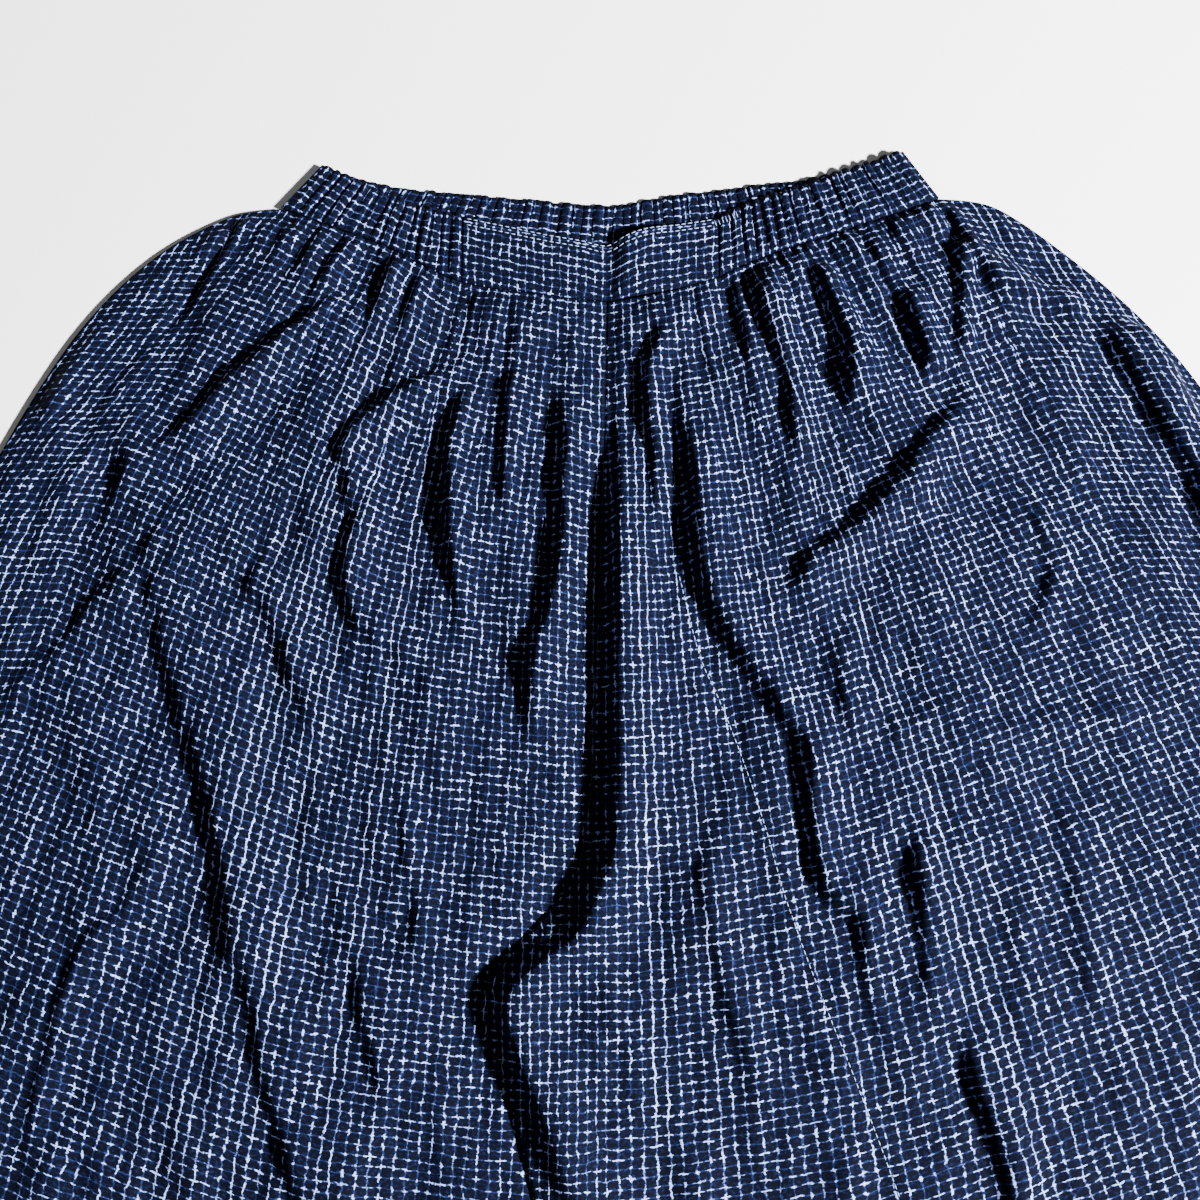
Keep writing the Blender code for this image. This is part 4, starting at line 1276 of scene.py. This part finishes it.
class PANTS_OT_sewing(bpy.types.Operator):
    """Lay the stitches that show on the band and on the left leg"""

    bl_idname = "pants.sewing"
    bl_label = "Sewing"

    def execute(self, context):
        band = surface_trees(["waistband_plain_cloth", "waistband_elastic_cloth"])
        xs = np.linspace(PLAIN_RIGHT_X + 2.0, PLAIN_LEFT_X - 2.0, 24)
        builder = bmesh.new()
        for inset_by in TOP_STITCH_INSETS:
            line = np.column_stack((xs, edge_y(FRONT_TOP, xs) - inset_by))
            stitch_row(builder, line, band)
        stitches("band_top_stitches", builder)
        builder = bmesh.new()
        for number in range(TACK_COUNT):
            x = PLAIN_LEFT_X - 2.0 + TACK_SPAN * number / (TACK_COUNT - 1)
            y = float(edge_y(FRONT_TOP, x)) - 1.0
            add_stitch(builder, (x, y), (x + 1.4, y - TACK_LENGTH), band)
        stitches("band_tacks", builder)
        builder = bmesh.new()
        stitch_row(builder, LEG_SEAM, surface_trees(["front_left_cloth"]))
        stitches("leg_seam_stitches", builder)
        return {"FINISHED"}


class PANTS_OT_stage(bpy.types.Operator):
    """Make the pale floor, the light and the camera"""

    bl_idname = "pants.stage"
    bl_label = "Stage"

    def execute(self, context):
        stage = context.scene.pants_stage
        builder = bmesh.new()
        bmesh.ops.create_grid(builder, x_segments=4, y_segments=4, size=FLOOR_REACH)
        for vertex in builder.verts:
            vertex.co.z = -0.5 * MM
        floor = scene_object("floor", builder, mottled("pale_floor", 0.95, 3.0, stage.floor, 0.99))
        shift_x, shift_y = plan_shift()
        aim_x, aim_y = laid_point(*VIEW_CENTRE)
        aim = Vector(((aim_x + shift_x) * MM, (aim_y + shift_y) * MM, (RIM_Z + LOFT) * MM))
        way = Vector((cos(stage.key_turn) * cos(stage.key_height),
                      -sin(stage.key_turn) * cos(stage.key_height), sin(stage.key_height)))
        key = bpy.data.lights.new("key", "AREA")
        key.energy = stage.key_power
        key.size = stage.key_size
        light = bpy.data.objects.new("key", key)
        light.location = aim + way * KEY_DISTANCE
        light.rotation_euler = way.to_track_quat("Z", "Y").to_euler()
        context.scene.collection.objects.link(light)
        world = bpy.data.worlds.new("studio")
        world.use_nodes = True
        world.node_tree.nodes["Background"].inputs["Color"].default_value = (1.0, 1.0, 1.0, 1.0)
        world.node_tree.nodes["Background"].inputs["Strength"].default_value = stage.fill
        context.scene.world = world
        camera = bpy.data.cameras.new("camera")
        camera.sensor_width = 36.0
        camera.lens = camera.sensor_width * VIEW_STEPS / SHEET_STEPS
        tilt = atan(VIEW_SLOPE)
        viewer = bpy.data.objects.new("camera", camera)
        distance = VIEW_STEPS * step_length() * MM
        viewer.location = aim + Vector((0.0, -sin(tilt), cos(tilt))) * distance
        viewer.rotation_euler = (tilt, 0.0, 0.0)
        context.scene.collection.objects.link(viewer)
        context.scene.camera = viewer
        return {"FINISHED"}


class PANTS_PT_sidebar(bpy.types.Panel):
    """Sizes, colours and steps of the pants"""

    bl_label = "Balloon Pants"
    bl_idname = "PANTS_PT_sidebar"
    bl_space_type = "VIEW_3D"
    bl_region_type = "UI"
    bl_category = "Pants"

    def draw(self, context):
        scene = context.scene
        for group in (scene.pants_sizes, scene.pants_colours, scene.pants_stage):
            box = self.layout.box()
            for name in group.__annotations__:
                box.prop(group, name)
        for operator in OPERATORS:
            self.layout.operator(operator.bl_idname)


GROUPS = (PantsSizes, PantsColours, PantsStage)
OPERATORS = (PANTS_OT_stage, PANTS_OT_back_panels, PANTS_OT_front_panels, PANTS_OT_waistband,
             PANTS_OT_cuffs, PANTS_OT_sewing)


def register():
    for group in (*GROUPS, *OPERATORS, PANTS_PT_sidebar):
        bpy.utils.register_class(group)
    bpy.types.Scene.pants_sizes = bpy.props.PointerProperty(type=PantsSizes)
    bpy.types.Scene.pants_colours = bpy.props.PointerProperty(type=PantsColours)
    bpy.types.Scene.pants_stage = bpy.props.PointerProperty(type=PantsStage)


def unregister():
    del bpy.types.Scene.pants_stage
    del bpy.types.Scene.pants_colours
    del bpy.types.Scene.pants_sizes
    for group in (PANTS_PT_sidebar, *reversed(OPERATORS), *reversed(GROUPS)):
        bpy.utils.unregister_class(group)


def main():
    register()
    bpy.ops.pants.stage()
    bpy.ops.pants.back_panels()
    bpy.ops.pants.front_panels()
    bpy.ops.pants.waistband()
    bpy.ops.pants.cuffs()
    bpy.ops.pants.sewing()


if __name__ == "__main__":
    main()
